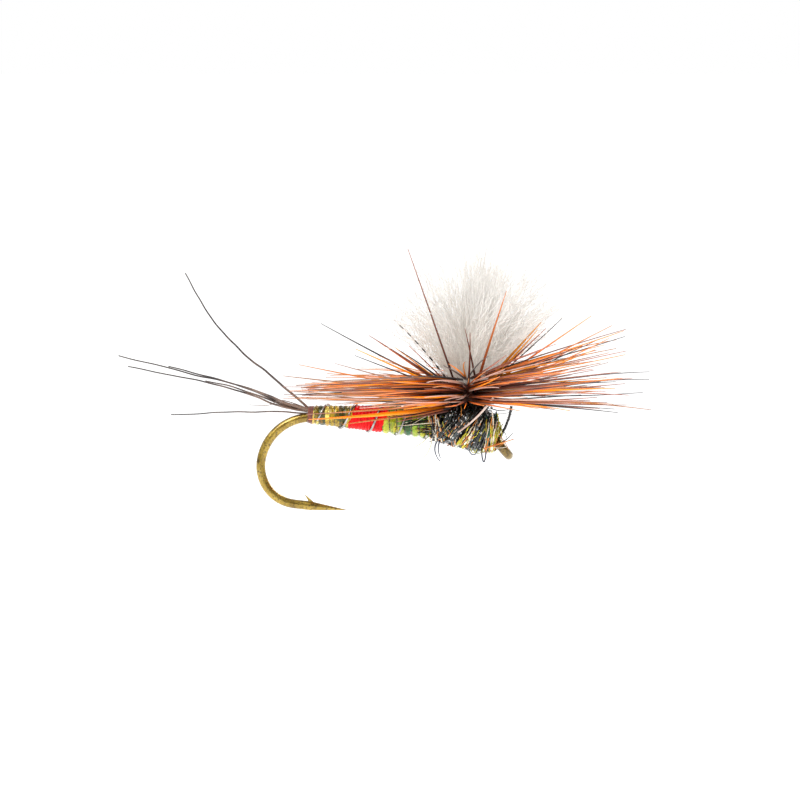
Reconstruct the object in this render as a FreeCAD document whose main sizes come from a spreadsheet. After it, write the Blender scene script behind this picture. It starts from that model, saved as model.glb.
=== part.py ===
"""Parachute dry fly: a barbed down-eye hook with its tied dressing, in millimetres.

The origin is the centre of the hook's eye. +X points forwards, past the eye, +Z points up along
the wing post, and the hackle lies level in X and Y. The shank then slopes down towards the eye
by pitch_deg. Pieces that lie on the shank are placed with two hook coordinates: "along", which
runs parallel to the shank and is positive towards the eye, and "above", square to it and upwards.
"""

import FreeCAD, Part
import math
import os
import re

import Sketcher

Vector = FreeCAD.Vector
SHEET = "Dimensions"
OUT_FOLDER = "parts"
LINE_START, LINE_END, CENTRE = 1, 2, 3
SKETCH_ORIGIN = (-1, 1)
SKETCH_UPRIGHT_AXIS = -2

# alias, value, meaning (millimetres, or degrees where the alias ends in _deg)
DIMENSIONS = [
    ("pitch_deg", 6.6, "slope of the shank, nose down, when the hackle is level"),
    # hook
    ("wire_diameter", 0.46, "hook wire"),
    ("eye_ring_radius", 0.55, "eye, from its centre to the middle of its wire"),
    ("eye_hole_radius", 0.35, "coined hole in the eye"),
    ("eye_turn_deg", 44.4, "how far the eye is turned down from the shank"),
    ("eye_sweep_deg", 330, "turn of the eye's ring before its end meets the neck"),
    ("bend_start", -9.34, "where the straight shank ends, along"),
    ("upper_bend_radius", 2.53, "first quarter of the bend"),
    ("lower_bend_radius", 1.885, "second quarter of the bend"),
    ("barb_base", -9.14, "where the spear's taper begins, along"),
    ("point_length", 1.80, "taper of the point"),
    ("point_tip_radius", 0.012, "sharpness of the point"),
    ("barb_length", 0.40, "barb tip behind the start of the taper"),
    ("barb_rise", 0.565, "barb tip above the spear's centre line"),
    ("barb_width", 0.16, "barb across the wire"),
    ("barb_front", 0.30, "front end of the barb, ahead of the start of the taper"),
    ("barb_front_rise", 0.092, "that end above the spear's centre line"),
    ("barb_notch", 0.10, "foot of the barb's rear edge, behind the start of the taper"),
    ("barb_notch_rise", 0.161, "that foot above the spear's centre line"),
    # thread and body
    ("thread_thickness", 0.03, "thread wound on the bare shank"),
    ("thread_rear", -9.80, "rear end of the thread, along"),
    ("thread_front", -0.46, "front end of the thread, along"),
    ("body_rear", -9.57, "rear end of the abdomen, along"),
    ("body_length", 6.03, "abdomen"),
    ("body_rear_rise", 0.13, "abdomen's axis above the shank's, at the rear"),
    ("body_front_rise", 0.44, "abdomen's axis above the shank's, at the front"),
    ("body_rear_radius", 0.46, "outside of the abdomen at the rear"),
    ("body_front_radius", 0.80, "outside of the abdomen at the front"),
    ("skin_thickness", 0.04, "flash and floss wound over the underbody"),
    ("tag_length", 1.96, "rear flash tag"),
    ("floss_length", 1.68, "floss band"),
    ("rib_diameter", 0.11, "ribbing wire"),
    ("rib_pitch", 1.40, "ribbing wire, one turn"),
    ("rib_start_deg", 242, "where round the body the ribbing wire starts, from the top"),
    ("rib_margin", 0.25, "bare body before the first and after the last turn"),
    ("rib_clearance", 0.006, "ribbing wire to the body"),
    # tail
    ("tail_wrap_length", 0.23, "thread over the roots of the tail"),
    ("tail_wrap_radius", 0.40, "outside of that wrap"),
    ("tail_wrap_rise", 0.12, "its axis above the shank's"),
    ("tail_root_rise", 0.36, "middle of the tail's roots above the shank's axis"),
    ("tail_fibre_diameter", 0.10, "one tail fibre"),
    # thorax and head
    ("thorax_rear", -3.53, "rear end of the thorax, along"),
    ("thorax_rise", 0.36, "thorax's axis above the shank's"),
    ("thorax_length", 2.66, "thorax core"),
    ("thorax_end_radius", 0.68, "thorax core at its rear face"),
    ("thorax_radius", 0.76, "thorax core at its thickest"),
    ("thorax_nose_radius", 0.46, "thorax core at its front face"),
    ("thorax_shoulder", 0.45, "length of the core's rear taper"),
    ("thorax_nose_length", 0.65, "length of the core's front taper"),
    ("herl_diameter", 0.30, "one herl strand with its fuzz"),
    ("herl_spacing", 0.32, "from one strand to the next along the thorax"),
    ("herl_strands", 4, "strands wound side by side"),
    ("herl_start", 0.18, "first strand, from the thorax's rear face"),
    ("herl_run", 1.15, "length along the thorax that one strand is wound over"),
    ("herl_clearance", 0.01, "strand to core"),
    ("core_post_clearance", 0.06, "thorax core to the thread on the post"),
    ("herl_post_clearance", 0.10, "herl to the thread on the post"),
    ("head_rear", -0.86, "rear end of the thread head, along"),
    ("head_length", 0.40, "thread head"),
    ("head_rise", 0.03, "thread head's axis above the shank's"),
    ("head_rear_radius", 0.42, "thread head at the rear"),
    ("head_front_radius", 0.32, "thread head at the front"),
    ("herl_tag_diameter", 0.12, "loose end of herl at the head"),
    ("herl_tag_length", 1.80, "its length"),
    ("herl_tag_bend", 28, "its bend in degrees"),
    ("herl_tag_rise_deg", 54, "how steeply it leaves the head"),
    ("herl_tag_x", -0.21, "its root, x"),
    ("herl_tag_y", -0.47, "its root, y"),
    ("herl_tag_z", 0.40, "its root, z"),
    # wing post
    ("post_x", -1.75, "axis of the wing post"),
    ("post_foot_z", 1.02, "lower end of the post, on the shank"),
    ("post_radius", 0.33, "post where it is bound"),
    ("post_wrap_radius", 0.42, "outside of the thread up the post"),
    ("post_wrap_top_z", 3.22, "upper end of the thread up the post"),
    ("wing_top_z", 10.30, "top of the wing"),
    # hackle
    ("stem_diameter", 0.20, "hackle quill"),
    ("stem_clearance", 0.02, "quill to the thread on the post"),
    ("stem_turn_pitch", 0.22, "one turn of the quill up the post"),
    ("stem_turns", 4.5, "turns of the quill"),
    ("stem_first_z", 2.20, "lowest turn of the quill"),
    ("barb_root_radius", 0.70, "where the barbs leave the quill, from the post's axis"),
    ("hackle_radius", 9.25, "tips of the barbs, from the post's axis"),
    ("barb_root_diameter", 0.075, "hackle barb at its root"),
    ("barb_tip_diameter", 0.024, "hackle barb at its tip"),
    ("barbs_per_turn", 28, "barbs that one turn of quill spreads"),
    ("hackle_tilt_deg", 3.5, "how far the front of the hackle is raised"),
    ("butt_root_diameter", 0.17, "trimmed end of the quill"),
    ("butt_tip_diameter", 0.13, "its other end"),
    ("butt_length", 1.85, "its length"),
    ("butt_x", -0.86, "its upper end, x"),
    ("butt_y", -1.22, "its upper end, y"),
    ("butt_z", 2.06, "its upper end, z"),
    ("butt_slant_deg", 43, "its slope below the horizontal"),
]

# how each tail fibre lies: length, bend, rise at the root, swing, and its root's place on the wrap
TAIL_FIBRES = [
    {"length": 9.20, "bend": 29, "rise": 33, "swing": 2, "side": 0.00, "lift": 0.15},
    {"length": 7.10, "bend": 4, "rise": -3, "swing": -14, "side": -0.12, "lift": -0.17},
    {"length": 9.90, "bend": 4, "rise": 14, "swing": -3, "side": -0.08, "lift": 0.00},
    {"length": 9.30, "bend": 3, "rise": 12, "swing": 3, "side": 0.08, "lift": 0.00},
    {"length": 7.40, "bend": 3, "rise": 15, "swing": -8, "side": -0.20, "lift": 0.02},
    {"length": 5.40, "bend": 5, "rise": 13, "swing": 8, "side": 0.20, "lift": 0.02},
]

# how far the barbs of each turn rise above the turn's own plane, lowest turn first
TURN_RISES_DEG = [-1.5, 2.0, 5.5, 9.5, 14.0]

# sections of the wing: height, radius and forward lean
WING_SECTIONS = [
    ("bound", "post_wrap_top_z", 0.33, 0.00),
    ("neck", "post_wrap_top_z + 1.3", 1.20, -0.06),
    ("waist", "post_wrap_top_z + 3.2", 2.10, 0.12),
    ("shoulder", "post_wrap_top_z + 5.2", 2.30, 0.36),
    ("crown", "wing_top_z", 1.20, 0.48),
]

# herl strands whose turns run into the wing post, and are parted by it
STRANDS_AT_POST = (2, 3, 4)

RIB_POINTS_PER_TURN = 12

SHANK_ABOVE = "(eye_ring_radius * sin(eye_turn_deg))"
NECK_ALONG = "(-eye_ring_radius * cos(eye_turn_deg))"
THREAD_RADIUS = "(wire_diameter / 2 + thread_thickness)"
BODY_TILT = "(atan((body_front_rise - body_rear_rise) / body_length) / 1deg)"
BODY_TAPER = "((body_front_radius - body_rear_radius) / body_length)"


# ---- the document, its sheet and short helpers ----

def alias_rows():
    """Add the rows for tail, hackle and wing to the table, so that the sheet holds every size."""
    rows = list(DIMENSIONS)
    for number, fibre in enumerate(TAIL_FIBRES, 1):
        for name, size in fibre.items():
            rows.append((f"tail{number}_{name}_size", size, f"tail fibre {number}: {name}"))
    for number, rise in enumerate(TURN_RISES_DEG, 1):
        rows.append((f"turn{number}_rise_deg", rise, f"hackle turn {number}: rise of its barbs"))
    for name, _, radius, lean in WING_SECTIONS:
        rows.append((f"wing_{name}_radius", radius, f"wing at its {name}: radius"))
        rows.append((f"wing_{name}_lean", lean, f"wing at its {name}: forward lean"))
    return rows


def make_sheet(document):
    """Write every dimension into the spreadsheet, one row each: name, value, meaning."""
    sheet = document.addObject("Spreadsheet::Sheet", SHEET)
    names = set()
    for row, (alias, size, meaning) in enumerate(alias_rows(), 1):
        sheet.set(f"A{row}", alias)
        sheet.set(f"B{row}", str(size))
        sheet.set(f"C{row}", meaning)
        sheet.setAlias(f"B{row}", alias)
        names.add(alias)
    document.recompute()
    return sheet, names


doc = FreeCAD.newDocument("DryFly")
sheet, ALIASES = make_sheet(doc)


def formula(text):
    """Turn a formula in plain dimension names into one that reads the sheet."""
    def from_sheet(match):
        word = match.group(0)
        return f"{SHEET}.{word}" if word in ALIASES else word
    return re.sub(r"[A-Za-z_]\w*", from_sheet, str(text))


def size_of(alias):
    """Read one dimension's number back from the sheet."""
    return float(sheet.get(alias))


def bind(thing, field, text):
    """Drive one property of an object from the sheet."""
    thing.setExpression(field, formula(text))


def placement_text(x, y, z, swing="0", pitch="0"):
    """Write a placement formula: a turn about Y by pitch, then about Z by swing, then a shift."""
    turn = f"rotation(vector(0; 0; 1); {swing}) * rotation(vector(0; 1; 0); {pitch})"
    return f"placement(vector({x}; {y}; {z}); {turn})"


def place(thing, x="0", y="0", z="0", swing="0", pitch="0"):
    """Place an object in the fly's own frame."""
    bind(thing, "Placement", placement_text(x, y, z, swing, pitch))


def place_on_shank(thing, along, above, side="0", swing="0", pitch="pitch_deg"):
    """Place an object by its hook coordinates."""
    x = f"({along}) * cos(pitch_deg) + ({above}) * sin(pitch_deg)"
    z = f"({above}) * cos(pitch_deg) - ({along}) * sin(pitch_deg)"
    place(thing, x, side, z, swing, pitch)


def new_body(label):
    """Start a PartDesign body whose label names its file."""
    body = doc.addObject("PartDesign::Body", label)
    body.Label = label
    return body


def origin_feature(body, role):
    """Find one of a body's own origin planes or axes."""
    return next(item for item in body.Origin.OriginFeatures if item.Role == role)


def new_sketch(body, name, role, x="0", y="0", lift="0", turn="0"):
    """Add a sketch on one of the body's origin planes, shifted and turned within it."""
    sketch = body.newObject("Sketcher::SketchObject", name)
    sketch.AttachmentSupport = [(origin_feature(body, role), "")]
    sketch.MapMode = "FlatFace"
    offset = f"placement(vector({x}; {y}; {lift}); rotation(vector(0; 0; 1); {turn}))"
    bind(sketch, "AttachmentOffset", offset)
    return sketch


def present_size(sketch, kind, where):
    """Measure what a driven constraint is about to hold, so that adding it moves nothing."""
    if kind == "DistanceX":
        return sketch.getPoint(*where[2:]).x
    if kind == "DistanceY":
        return sketch.getPoint(*where[2:]).y
    curve = sketch.Geometry[where[0]]
    if kind == "Angle":
        return curve.LastParameter - curve.FirstParameter
    return 2 * curve.Radius if kind == "Diameter" else curve.Radius


def constrain(sketch, kind, *where, to=None):
    """Add a constraint, and drive it from the sheet if a formula is given."""
    if to is None:
        sketch.addConstraint(Sketcher.Constraint(kind, *where))
        return
    starting_size = present_size(sketch, kind, where)
    index = sketch.addConstraint(Sketcher.Constraint(kind, *where, starting_size))
    bind(sketch, f"Constraints[{index}]", to)


def fix_point(sketch, geometry, point, x, y):
    """Hold one point of a sketch at x, y from the sketch's origin."""
    constrain(sketch, "DistanceX", *SKETCH_ORIGIN, geometry, point, to=x)
    constrain(sketch, "DistanceY", *SKETCH_ORIGIN, geometry, point, to=y)


def draw_circle(sketch, x, y, diameter):
    """Draw a circle with its centre at x, y."""
    circle = sketch.addGeometry(Part.Circle(Vector(0, 0, 0), Vector(0, 0, 1), 0.5))
    fix_point(sketch, circle, CENTRE, x, y)
    constrain(sketch, "Diameter", circle, to=diameter)


def draw_polygon(sketch, corners):
    """Draw a closed outline through the corners, each an (x, y) pair of formulas."""
    count = len(corners)
    around = [2 * math.pi * i / count for i in range(count)]
    start = [Vector(math.cos(angle), math.sin(angle), 0) for angle in around]
    for i in range(count):
        sketch.addGeometry(Part.LineSegment(start[i], start[(i + 1) % count]))
    for i in range(count):
        constrain(sketch, "Coincident", i, LINE_END, (i + 1) % count, LINE_START)
    for i, (x, y) in enumerate(corners):
        fix_point(sketch, i, LINE_START, x, y)


def revolve(body, name, sketch, axis, turn="360"):
    """Revolve a sketch about one of its own axes."""
    feature = body.newObject("PartDesign::Revolution", name)
    feature.Profile = sketch
    feature.ReferenceAxis = (sketch, [axis])
    bind(feature, "Angle", turn)
    return feature


def pad(body, name, sketch, length):
    """Pad a sketch along its normal."""
    feature = body.newObject("PartDesign::Pad", name)
    feature.Profile = sketch
    bind(feature, "Length", length)
    return feature


def pocket_through(body, name, sketch):
    """Cut a sketch through the body both ways, and make sure that it removed something."""
    doc.recompute()
    before = body.Shape.Volume
    feature = body.newObject("PartDesign::Pocket", name)
    feature.Profile = sketch
    feature.Type = "ThroughAll"
    feature.SideType = "Symmetric"
    doc.recompute()
    if body.Shape.Volume >= before:
        raise RuntimeError(f"{body.Label}: {name} removed nothing")


def pipe(body, name, section, spine):
    """Sweep a section along a whole sketch."""
    feature = body.newObject("PartDesign::AdditivePipe", name)
    feature.Profile = section
    feature.Spine = spine
    return feature


def helix(body, name, section, axis_role, pitch, height):
    """Sweep a section along a helix about one of the body's axes."""
    doc.recompute()
    feature = body.newObject("PartDesign::AdditiveHelix", name)
    feature.Profile = section
    feature.ReferenceAxis = (origin_feature(body, axis_role), [""])
    feature.Mode = "pitch-height-angle"
    bind(feature, "Pitch", pitch)
    bind(feature, "Height", height)
    return feature


# ---- hook ----

def hook_wire(body):
    """Sweep the wire along shank, bend and spear."""
    bend_x = size_of("bend_start")
    top_z = size_of("wire_diameter")
    big = size_of("upper_bend_radius")
    small = size_of("lower_bend_radius")
    middle_z = top_z - big
    small_x = bend_x - big + small
    low_z = middle_z - small
    quarter = math.pi / 2
    upright = Vector(0, 0, 1)
    big_circle = Part.Circle(Vector(bend_x, middle_z, 0), upright, big)
    small_circle = Part.Circle(Vector(small_x, middle_z, 0), upright, small)

    path = new_sketch(body, "WirePath", "XZ_Plane")
    shank = path.addGeometry(Part.LineSegment(Vector(0, top_z, 0), Vector(bend_x, top_z, 0)))
    upper = path.addGeometry(Part.ArcOfCircle(big_circle, quarter, 2 * quarter))
    lower = path.addGeometry(Part.ArcOfCircle(small_circle, 2 * quarter, 3 * quarter))
    spear = path.addGeometry(
        Part.LineSegment(Vector(small_x, low_z, 0), Vector(size_of("barb_base"), low_z, 0)))
    fix_point(path, shank, LINE_START, NECK_ALONG, SHANK_ABOVE)
    constrain(path, "Horizontal", shank)
    constrain(path, "DistanceX", *SKETCH_ORIGIN, shank, LINE_END, to="bend_start")
    constrain(path, "Tangent", shank, LINE_END, upper, LINE_START)
    constrain(path, "Tangent", upper, LINE_END, lower, LINE_START)
    constrain(path, "Tangent", lower, LINE_END, spear, LINE_START)
    constrain(path, "Horizontal", upper, CENTRE, upper, LINE_END)
    constrain(path, "Radius", upper, to="upper_bend_radius")
    constrain(path, "Radius", lower, to="lower_bend_radius")
    constrain(path, "Horizontal", spear)
    constrain(path, "DistanceX", *SKETCH_ORIGIN, spear, LINE_END, to="barb_base")

    section = new_sketch(body, "WireSection", "YZ_Plane", lift=NECK_ALONG)
    draw_circle(section, "0", SHANK_ABOVE, "wire_diameter")
    doc.recompute()
    pipe(body, "Wire", section, path)


def hook_eye(body):
    """Revolve the wire's section, flattened where the hole is coined, about the eye's centre."""
    section = new_sketch(body, "EyeSection", "XZ_Plane", turn="-eye_turn_deg")
    ring = size_of("eye_ring_radius")
    wire = size_of("wire_diameter") / 2
    flat = math.acos((ring - size_of("eye_hole_radius")) / wire)
    circle = Part.Circle(Vector(-ring, 0, 0), Vector(0, 0, 1), wire)
    rim = section.addGeometry(Part.ArcOfCircle(circle, flat, 2 * math.pi - flat))
    ends = section.Geometry[rim]
    chord = section.addGeometry(Part.LineSegment(ends.EndPoint, ends.StartPoint))
    constrain(section, "Coincident", rim, LINE_END, chord, LINE_START)
    constrain(section, "Coincident", chord, LINE_END, rim, LINE_START)
    fix_point(section, rim, CENTRE, "-eye_ring_radius", "0")
    constrain(section, "Radius", rim, to="wire_diameter / 2")
    constrain(section, "Vertical", chord)
    constrain(section, "DistanceX", *SKETCH_ORIGIN, chord, LINE_START, to="-eye_hole_radius")
    doc.recompute()
    revolve(body, "Eye", section, "V_Axis", "eye_sweep_deg")


def hook_point(body):
    """Taper the end of the spear to its point, and raise the barb from it."""
    spear_above = f"({SHANK_ABOVE} - upper_bend_radius - lower_bend_radius)"
    taper = new_sketch(body, "PointTaper", "XZ_Plane", x="barb_base", y=spear_above)
    draw_polygon(taper, [
        ("0", "0"),
        ("point_length", "0"),
        ("point_length", "point_tip_radius"),
        ("0", "wire_diameter / 2"),
    ])
    doc.recompute()
    revolve(body, "Point", taper, "H_Axis")
    barb = new_sketch(body, "BarbOutline", "XZ_Plane", x="barb_base", y=spear_above)
    draw_polygon(barb, [
        ("barb_front", "barb_front_rise"),
        ("-barb_length", "barb_rise"),
        ("-barb_notch", "barb_notch_rise"),
    ])
    doc.recompute()
    feature = pad(body, "Barb", barb, "barb_width")
    feature.SideType = "Symmetric"


def hook():
    """The hook: one wire with its eye, bend, barb and point."""
    body = new_body("hook")
    hook_wire(body)
    hook_eye(body)
    hook_point(body)
    place(body, pitch="pitch_deg")
    return body


# ---- thread, abdomen and rib ----

def thread_base():
    """Thread wound in touching turns along the shank, as a thin sleeve on the wire."""
    body = new_body("thread_base")
    section = new_sketch(body, "SleeveSection", "YZ_Plane")
    draw_circle(section, "0", "0", "wire_diameter")
    draw_circle(section, "0", "0", f"2 * {THREAD_RADIUS}")
    doc.recompute()
    pad(body, "Sleeve", section, "thread_front - thread_rear")
    place_on_shank(body, "thread_rear", SHANK_ABOVE)
    return body


def lashing(label, along, rise, length, rear_radius, front_radius, tilt="0"):
    """A tapered binding that sits a little above the shank's axis, bored for the threaded shank."""
    upright_to_shank = "90 + pitch_deg"
    cone = doc.addObject("Part::Cone", f"{label}_outside")
    bind(cone, "Radius1", rear_radius)
    bind(cone, "Radius2", front_radius)
    bind(cone, "Height", length)
    above = f"{SHANK_ABOVE} + {rise}"
    place_on_shank(cone, along, above, pitch=f"{upright_to_shank} - {tilt}")
    bore = doc.addObject("Part::Cylinder", f"{label}_bore")
    bind(bore, "Radius", THREAD_RADIUS)
    bind(bore, "Height", f"2 * ({length})")
    place_on_shank(bore, f"{along} - ({length}) / 2", SHANK_ABOVE, pitch=upright_to_shank)
    cut = doc.addObject("Part::Cut", label)
    cut.Label = label
    cut.Base = cone
    cut.Tool = bore
    return cut


def underbody():
    """The padding of floss and thread that gives the abdomen its taper."""
    rear = "body_rear_radius - skin_thickness"
    front = "body_front_radius - skin_thickness"
    return lashing("underbody", "body_rear", "body_rear_rise", "body_length", rear, front, BODY_TILT)


def place_on_body(thing):
    """Place an object with its X axis along the abdomen, from the abdomen's rear end."""
    above = f"{SHANK_ABOVE} + body_rear_rise"
    place_on_shank(thing, "body_rear", above, pitch=f"pitch_deg - {BODY_TILT}")


def body_radius(station):
    """Outside radius of the abdomen at a distance from its rear end."""
    return f"(body_rear_radius + {BODY_TAPER} * ({station}))"


def skin_band(label, start, end):
    """One band of flash or floss, wound over the underbody as a thin cone."""
    body = new_body(label)
    section = new_sketch(body, "BandSection", "XZ_Plane")
    draw_polygon(section, [
        (start, f"{body_radius(start)} - skin_thickness"),
        (end, f"{body_radius(end)} - skin_thickness"),
        (end, body_radius(end)),
        (start, body_radius(start)),
    ])
    doc.recompute()
    revolve(body, "Band", section, "H_Axis")
    place_on_body(body)
    return body


def rib_point(station):
    """Middle of the ribbing wire at a distance along the abdomen, in the abdomen's own frame."""
    taper = (size_of("body_front_radius") - size_of("body_rear_radius")) / size_of("body_length")
    surface = size_of("body_rear_radius") + taper * station
    radius = surface + size_of("rib_diameter") / 2 + size_of("rib_clearance")
    wound = 2 * math.pi * (station - size_of("rib_margin")) / size_of("rib_pitch")
    turn = wound + math.radians(size_of("rib_start_deg"))
    return Vector(station, radius * math.sin(turn), radius * math.cos(turn))


def rib_wire():
    """The ribbing wire: open turns over the whole abdomen, swept along a spline on its cone."""
    margin = size_of("rib_margin")
    run = size_of("body_length") - 2 * margin
    steps = round(run / size_of("rib_pitch") * RIB_POINTS_PER_TURN)
    points = [rib_point(margin + run * i / steps) for i in range(steps + 1)]
    path = Part.BSplineCurve()
    path.interpolate(points)
    heading = path.tangent(path.FirstParameter)[0]
    section = Part.Wire(Part.makeCircle(size_of("rib_diameter") / 2, points[0], heading))
    make_solid, frenet = True, True
    rib = doc.addObject("Part::Feature", "rib_wire")
    rib.Label = "rib_wire"
    rib.Shape = Part.Wire(path.toShape()).makePipeShell([section], make_solid, frenet)
    place_on_body(rib)
    return rib


# ---- tail ----

def bent_strand(label, diameter, length, bend):
    """A round strand that leaves the body's origin backwards, along -X, and bends upwards."""
    body = new_body(label)
    radius_text = f"({length}) * 180 / (pi * ({bend}))"
    start_radius = 10.0
    start_bend = math.radians(20)
    spine = new_sketch(body, "Spine", "XZ_Plane")
    circle = Part.Circle(Vector(0, start_radius, 0), Vector(0, 0, 1), start_radius)
    root_angle = -math.pi / 2
    arc = spine.addGeometry(Part.ArcOfCircle(circle, root_angle - start_bend, root_angle))
    constrain(spine, "Coincident", arc, LINE_END, *SKETCH_ORIGIN)
    constrain(spine, "PointOnObject", arc, CENTRE, SKETCH_UPRIGHT_AXIS)
    constrain(spine, "Radius", arc, to=radius_text)
    constrain(spine, "Angle", arc, to=bend)
    section = new_sketch(body, "Section", "YZ_Plane")
    draw_circle(section, "0", "0", diameter)
    doc.recompute()
    pipe(body, "Strand", section, spine)
    return body


def tail_fibre(number):
    """One stiff tail fibre, from the rear face of the tail wrap."""
    def own(name):
        return f"tail{number}_{name}_size"
    label = f"tail_fibre_{number}"
    body = bent_strand(label, "tail_fibre_diameter", own("length"), own("bend"))
    above = f"{SHANK_ABOVE} + tail_root_rise + {own('lift')}"
    place_on_shank(body, "thread_rear", above, own("side"), own("swing"), own("rise"))
    return body


# ---- thorax and head ----

def place_on_thorax(thing):
    """Place an object with its X axis along the thorax, from the thorax's rear face."""
    place_on_shank(thing, "thorax_rear", f"{SHANK_ABOVE} + thorax_rise")


def cut_for_post(body, diameter):
    """Cut the wing post's way through a piece of the thorax."""
    shank_to_thorax = f"({SHANK_ABOVE} + thorax_rise)"
    station = f"(post_x - {shank_to_thorax} * sin(pitch_deg)) / cos(pitch_deg) - thorax_rear"
    hole = new_sketch(body, "PostHole", "XY_Plane")
    draw_circle(hole, station, "0", diameter)
    pocket_through(body, "PostWay", hole)


def thorax_core():
    """The dubbed core of the thorax, bored for the shank and for the wing post."""
    body = new_body("thorax_core")
    outline = new_sketch(body, "CoreOutline", "XZ_Plane")
    draw_polygon(outline, [
        ("0", "0"),
        ("thorax_length", "0"),
        ("thorax_length", "thorax_nose_radius"),
        ("thorax_length - thorax_nose_length", "thorax_radius"),
        ("thorax_shoulder", "thorax_radius"),
        ("0", "thorax_end_radius"),
    ])
    doc.recompute()
    revolve(body, "Core", outline, "H_Axis")
    shank_hole = new_sketch(body, "ShankHole", "YZ_Plane")
    draw_circle(shank_hole, "0", "-thorax_rise", f"2 * {THREAD_RADIUS}")
    pocket_through(body, "ShankWay", shank_hole)
    cut_for_post(body, "2 * (post_wrap_radius + core_post_clearance)")
    place_on_thorax(body)
    return body


def herl_strand(number):
    """One strand of herl, wound side by side with the others over the thorax core."""
    body = new_body(f"herl_strand_{number}")
    section = new_sketch(body, "StrandSection", "XZ_Plane")
    station = f"herl_start + {number - 1} * herl_spacing"
    radius = "thorax_radius + herl_clearance + herl_diameter / 2"
    draw_circle(section, station, radius, "herl_diameter")
    helix(body, "Turns", section, "X_Axis", "herl_spacing * herl_strands", "herl_run")
    if number in STRANDS_AT_POST:
        cut_for_post(body, "2 * (post_wrap_radius + herl_post_clearance)")
    place_on_thorax(body)
    return body


def head_wrap():
    """The thread head behind the eye."""
    return lashing("head_wrap", "head_rear", "head_rise", "head_length", "head_rear_radius",
                   "head_front_radius")


def tail_wrap():
    """The thread that binds the tail's roots at the end of the shank."""
    return lashing("tail_wrap", "thread_rear", "tail_wrap_rise", "tail_wrap_length",
                   "tail_wrap_radius", "tail_wrap_radius")


def herl_tag():
    """The loose end of herl that stands up beside the head."""
    body = bent_strand("herl_tag", "herl_tag_diameter", "herl_tag_length", "herl_tag_bend")
    place(body, "herl_tag_x", "herl_tag_y", "herl_tag_z", swing="180", pitch="herl_tag_rise_deg")
    return body


# ---- wing post and hackle ----

def wing_post():
    """The yarn post: bound round where it stands on the shank, then spread into a bush."""
    body = new_body("wing_post")
    foot = new_sketch(body, "PostFoot", "XY_Plane", lift="post_foot_z")
    draw_circle(foot, "0", "0", "2 * post_radius")
    doc.recompute()
    pad(body, "Post", foot, "post_wrap_top_z - post_foot_z")
    rings = []
    for name, height, _, _ in WING_SECTIONS:
        ring = new_sketch(body, f"Wing_{name}", "XY_Plane", lift=height)
        draw_circle(ring, f"wing_{name}_lean", "0", f"2 * wing_{name}_radius")
        rings.append(ring)
    doc.recompute()
    bush = body.newObject("PartDesign::AdditiveLoft", "Bush")
    bush.Profile = rings[0]
    bush.Sections = rings[1:]
    bush.Ruled = True
    place(body, x="post_x")
    return body


def post_wrap():
    """Thread wound up the foot of the post, as a thin sleeve."""
    body = new_body("post_wrap")
    section = new_sketch(body, "SleeveSection", "XY_Plane", lift="post_foot_z")
    draw_circle(section, "0", "0", "2 * post_radius")
    draw_circle(section, "0", "0", "2 * post_wrap_radius")
    doc.recompute()
    pad(body, "Sleeve", section, "post_wrap_top_z - post_foot_z")
    place(body, x="post_x")
    return body


def hackle_stem():
    """The hackle's quill, wound round the post in rising turns."""
    body = new_body("hackle_stem")
    section = new_sketch(body, "QuillSection", "XZ_Plane")
    draw_circle(section, "post_wrap_radius + stem_clearance + stem_diameter / 2", "0",
                "stem_diameter")
    helix(body, "Turns", section, "Z_Axis", "stem_turn_pitch", "stem_turn_pitch * stem_turns")
    place(body, x="post_x", z="stem_first_z")
    return body


def hackle_barbs(number):
    """The barbs that one turn of quill spreads: a ring of separate tapered fibres."""
    body = new_body(f"hackle_barbs_turn_{number}")
    rise = f"turn{number}_rise_deg"
    outline = new_sketch(body, "BarbOutline", "XZ_Plane", turn=rise)
    tip = f"hackle_radius / cos({rise})"
    draw_polygon(outline, [
        ("barb_root_radius", "0"),
        (tip, "0"),
        (tip, "barb_tip_diameter / 2"),
        ("barb_root_radius", "barb_root_diameter / 2"),
    ])
    doc.recompute()
    barb = revolve(body, "Barb", outline, "H_Axis")
    doc.recompute()
    ring = body.newObject("PartDesign::PolarPattern", "Ring")
    ring.Originals = [barb]
    ring.Axis = (origin_feature(body, "Z_Axis"), [""])
    ring.Angle = 360
    bind(ring, "Occurrences", "barbs_per_turn")
    body.Tip = ring
    turns = len(TURN_RISES_DEG)
    place(body, x="post_x", z=f"stem_first_z + {number - 0.5} * stem_turn_pitch",
          swing=f"360 * {number} / (barbs_per_turn * {turns})", pitch="-hackle_tilt_deg")
    return body


def hackle_butt():
    """The trimmed end of the quill, which slants down the near side of the thorax."""
    cone = doc.addObject("Part::Cone", "hackle_butt")
    cone.Label = "hackle_butt"
    bind(cone, "Radius1", "butt_root_diameter / 2")
    bind(cone, "Radius2", "butt_tip_diameter / 2")
    bind(cone, "Height", "butt_length")
    place(cone, "butt_x", "butt_y", "butt_z", pitch="-90 - butt_slant_deg")
    return cone


# ---- everything together ----

def build_all():
    """Make every sub-part and return them in the order of tying."""
    floss_start = "tag_length"
    flash_start = "tag_length + floss_length"
    pieces = [hook(), thread_base(), tail_wrap()]
    pieces += [tail_fibre(number) for number in range(1, len(TAIL_FIBRES) + 1)]
    pieces += [
        underbody(),
        skin_band("tag_flash", "0", floss_start),
        skin_band("floss_band", floss_start, flash_start),
        skin_band("flash_band", flash_start, "body_length"),
        rib_wire(),
        wing_post(),
        post_wrap(),
        thorax_core(),
    ]
    strands = int(size_of("herl_strands"))
    pieces += [herl_strand(number) for number in range(1, strands + 1)]
    pieces.append(hackle_stem())
    pieces += [hackle_barbs(number) for number in range(1, len(TURN_RISES_DEG) + 1)]
    pieces += [hackle_butt(), herl_tag(), head_wrap()]
    doc.recompute()
    return pieces


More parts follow.
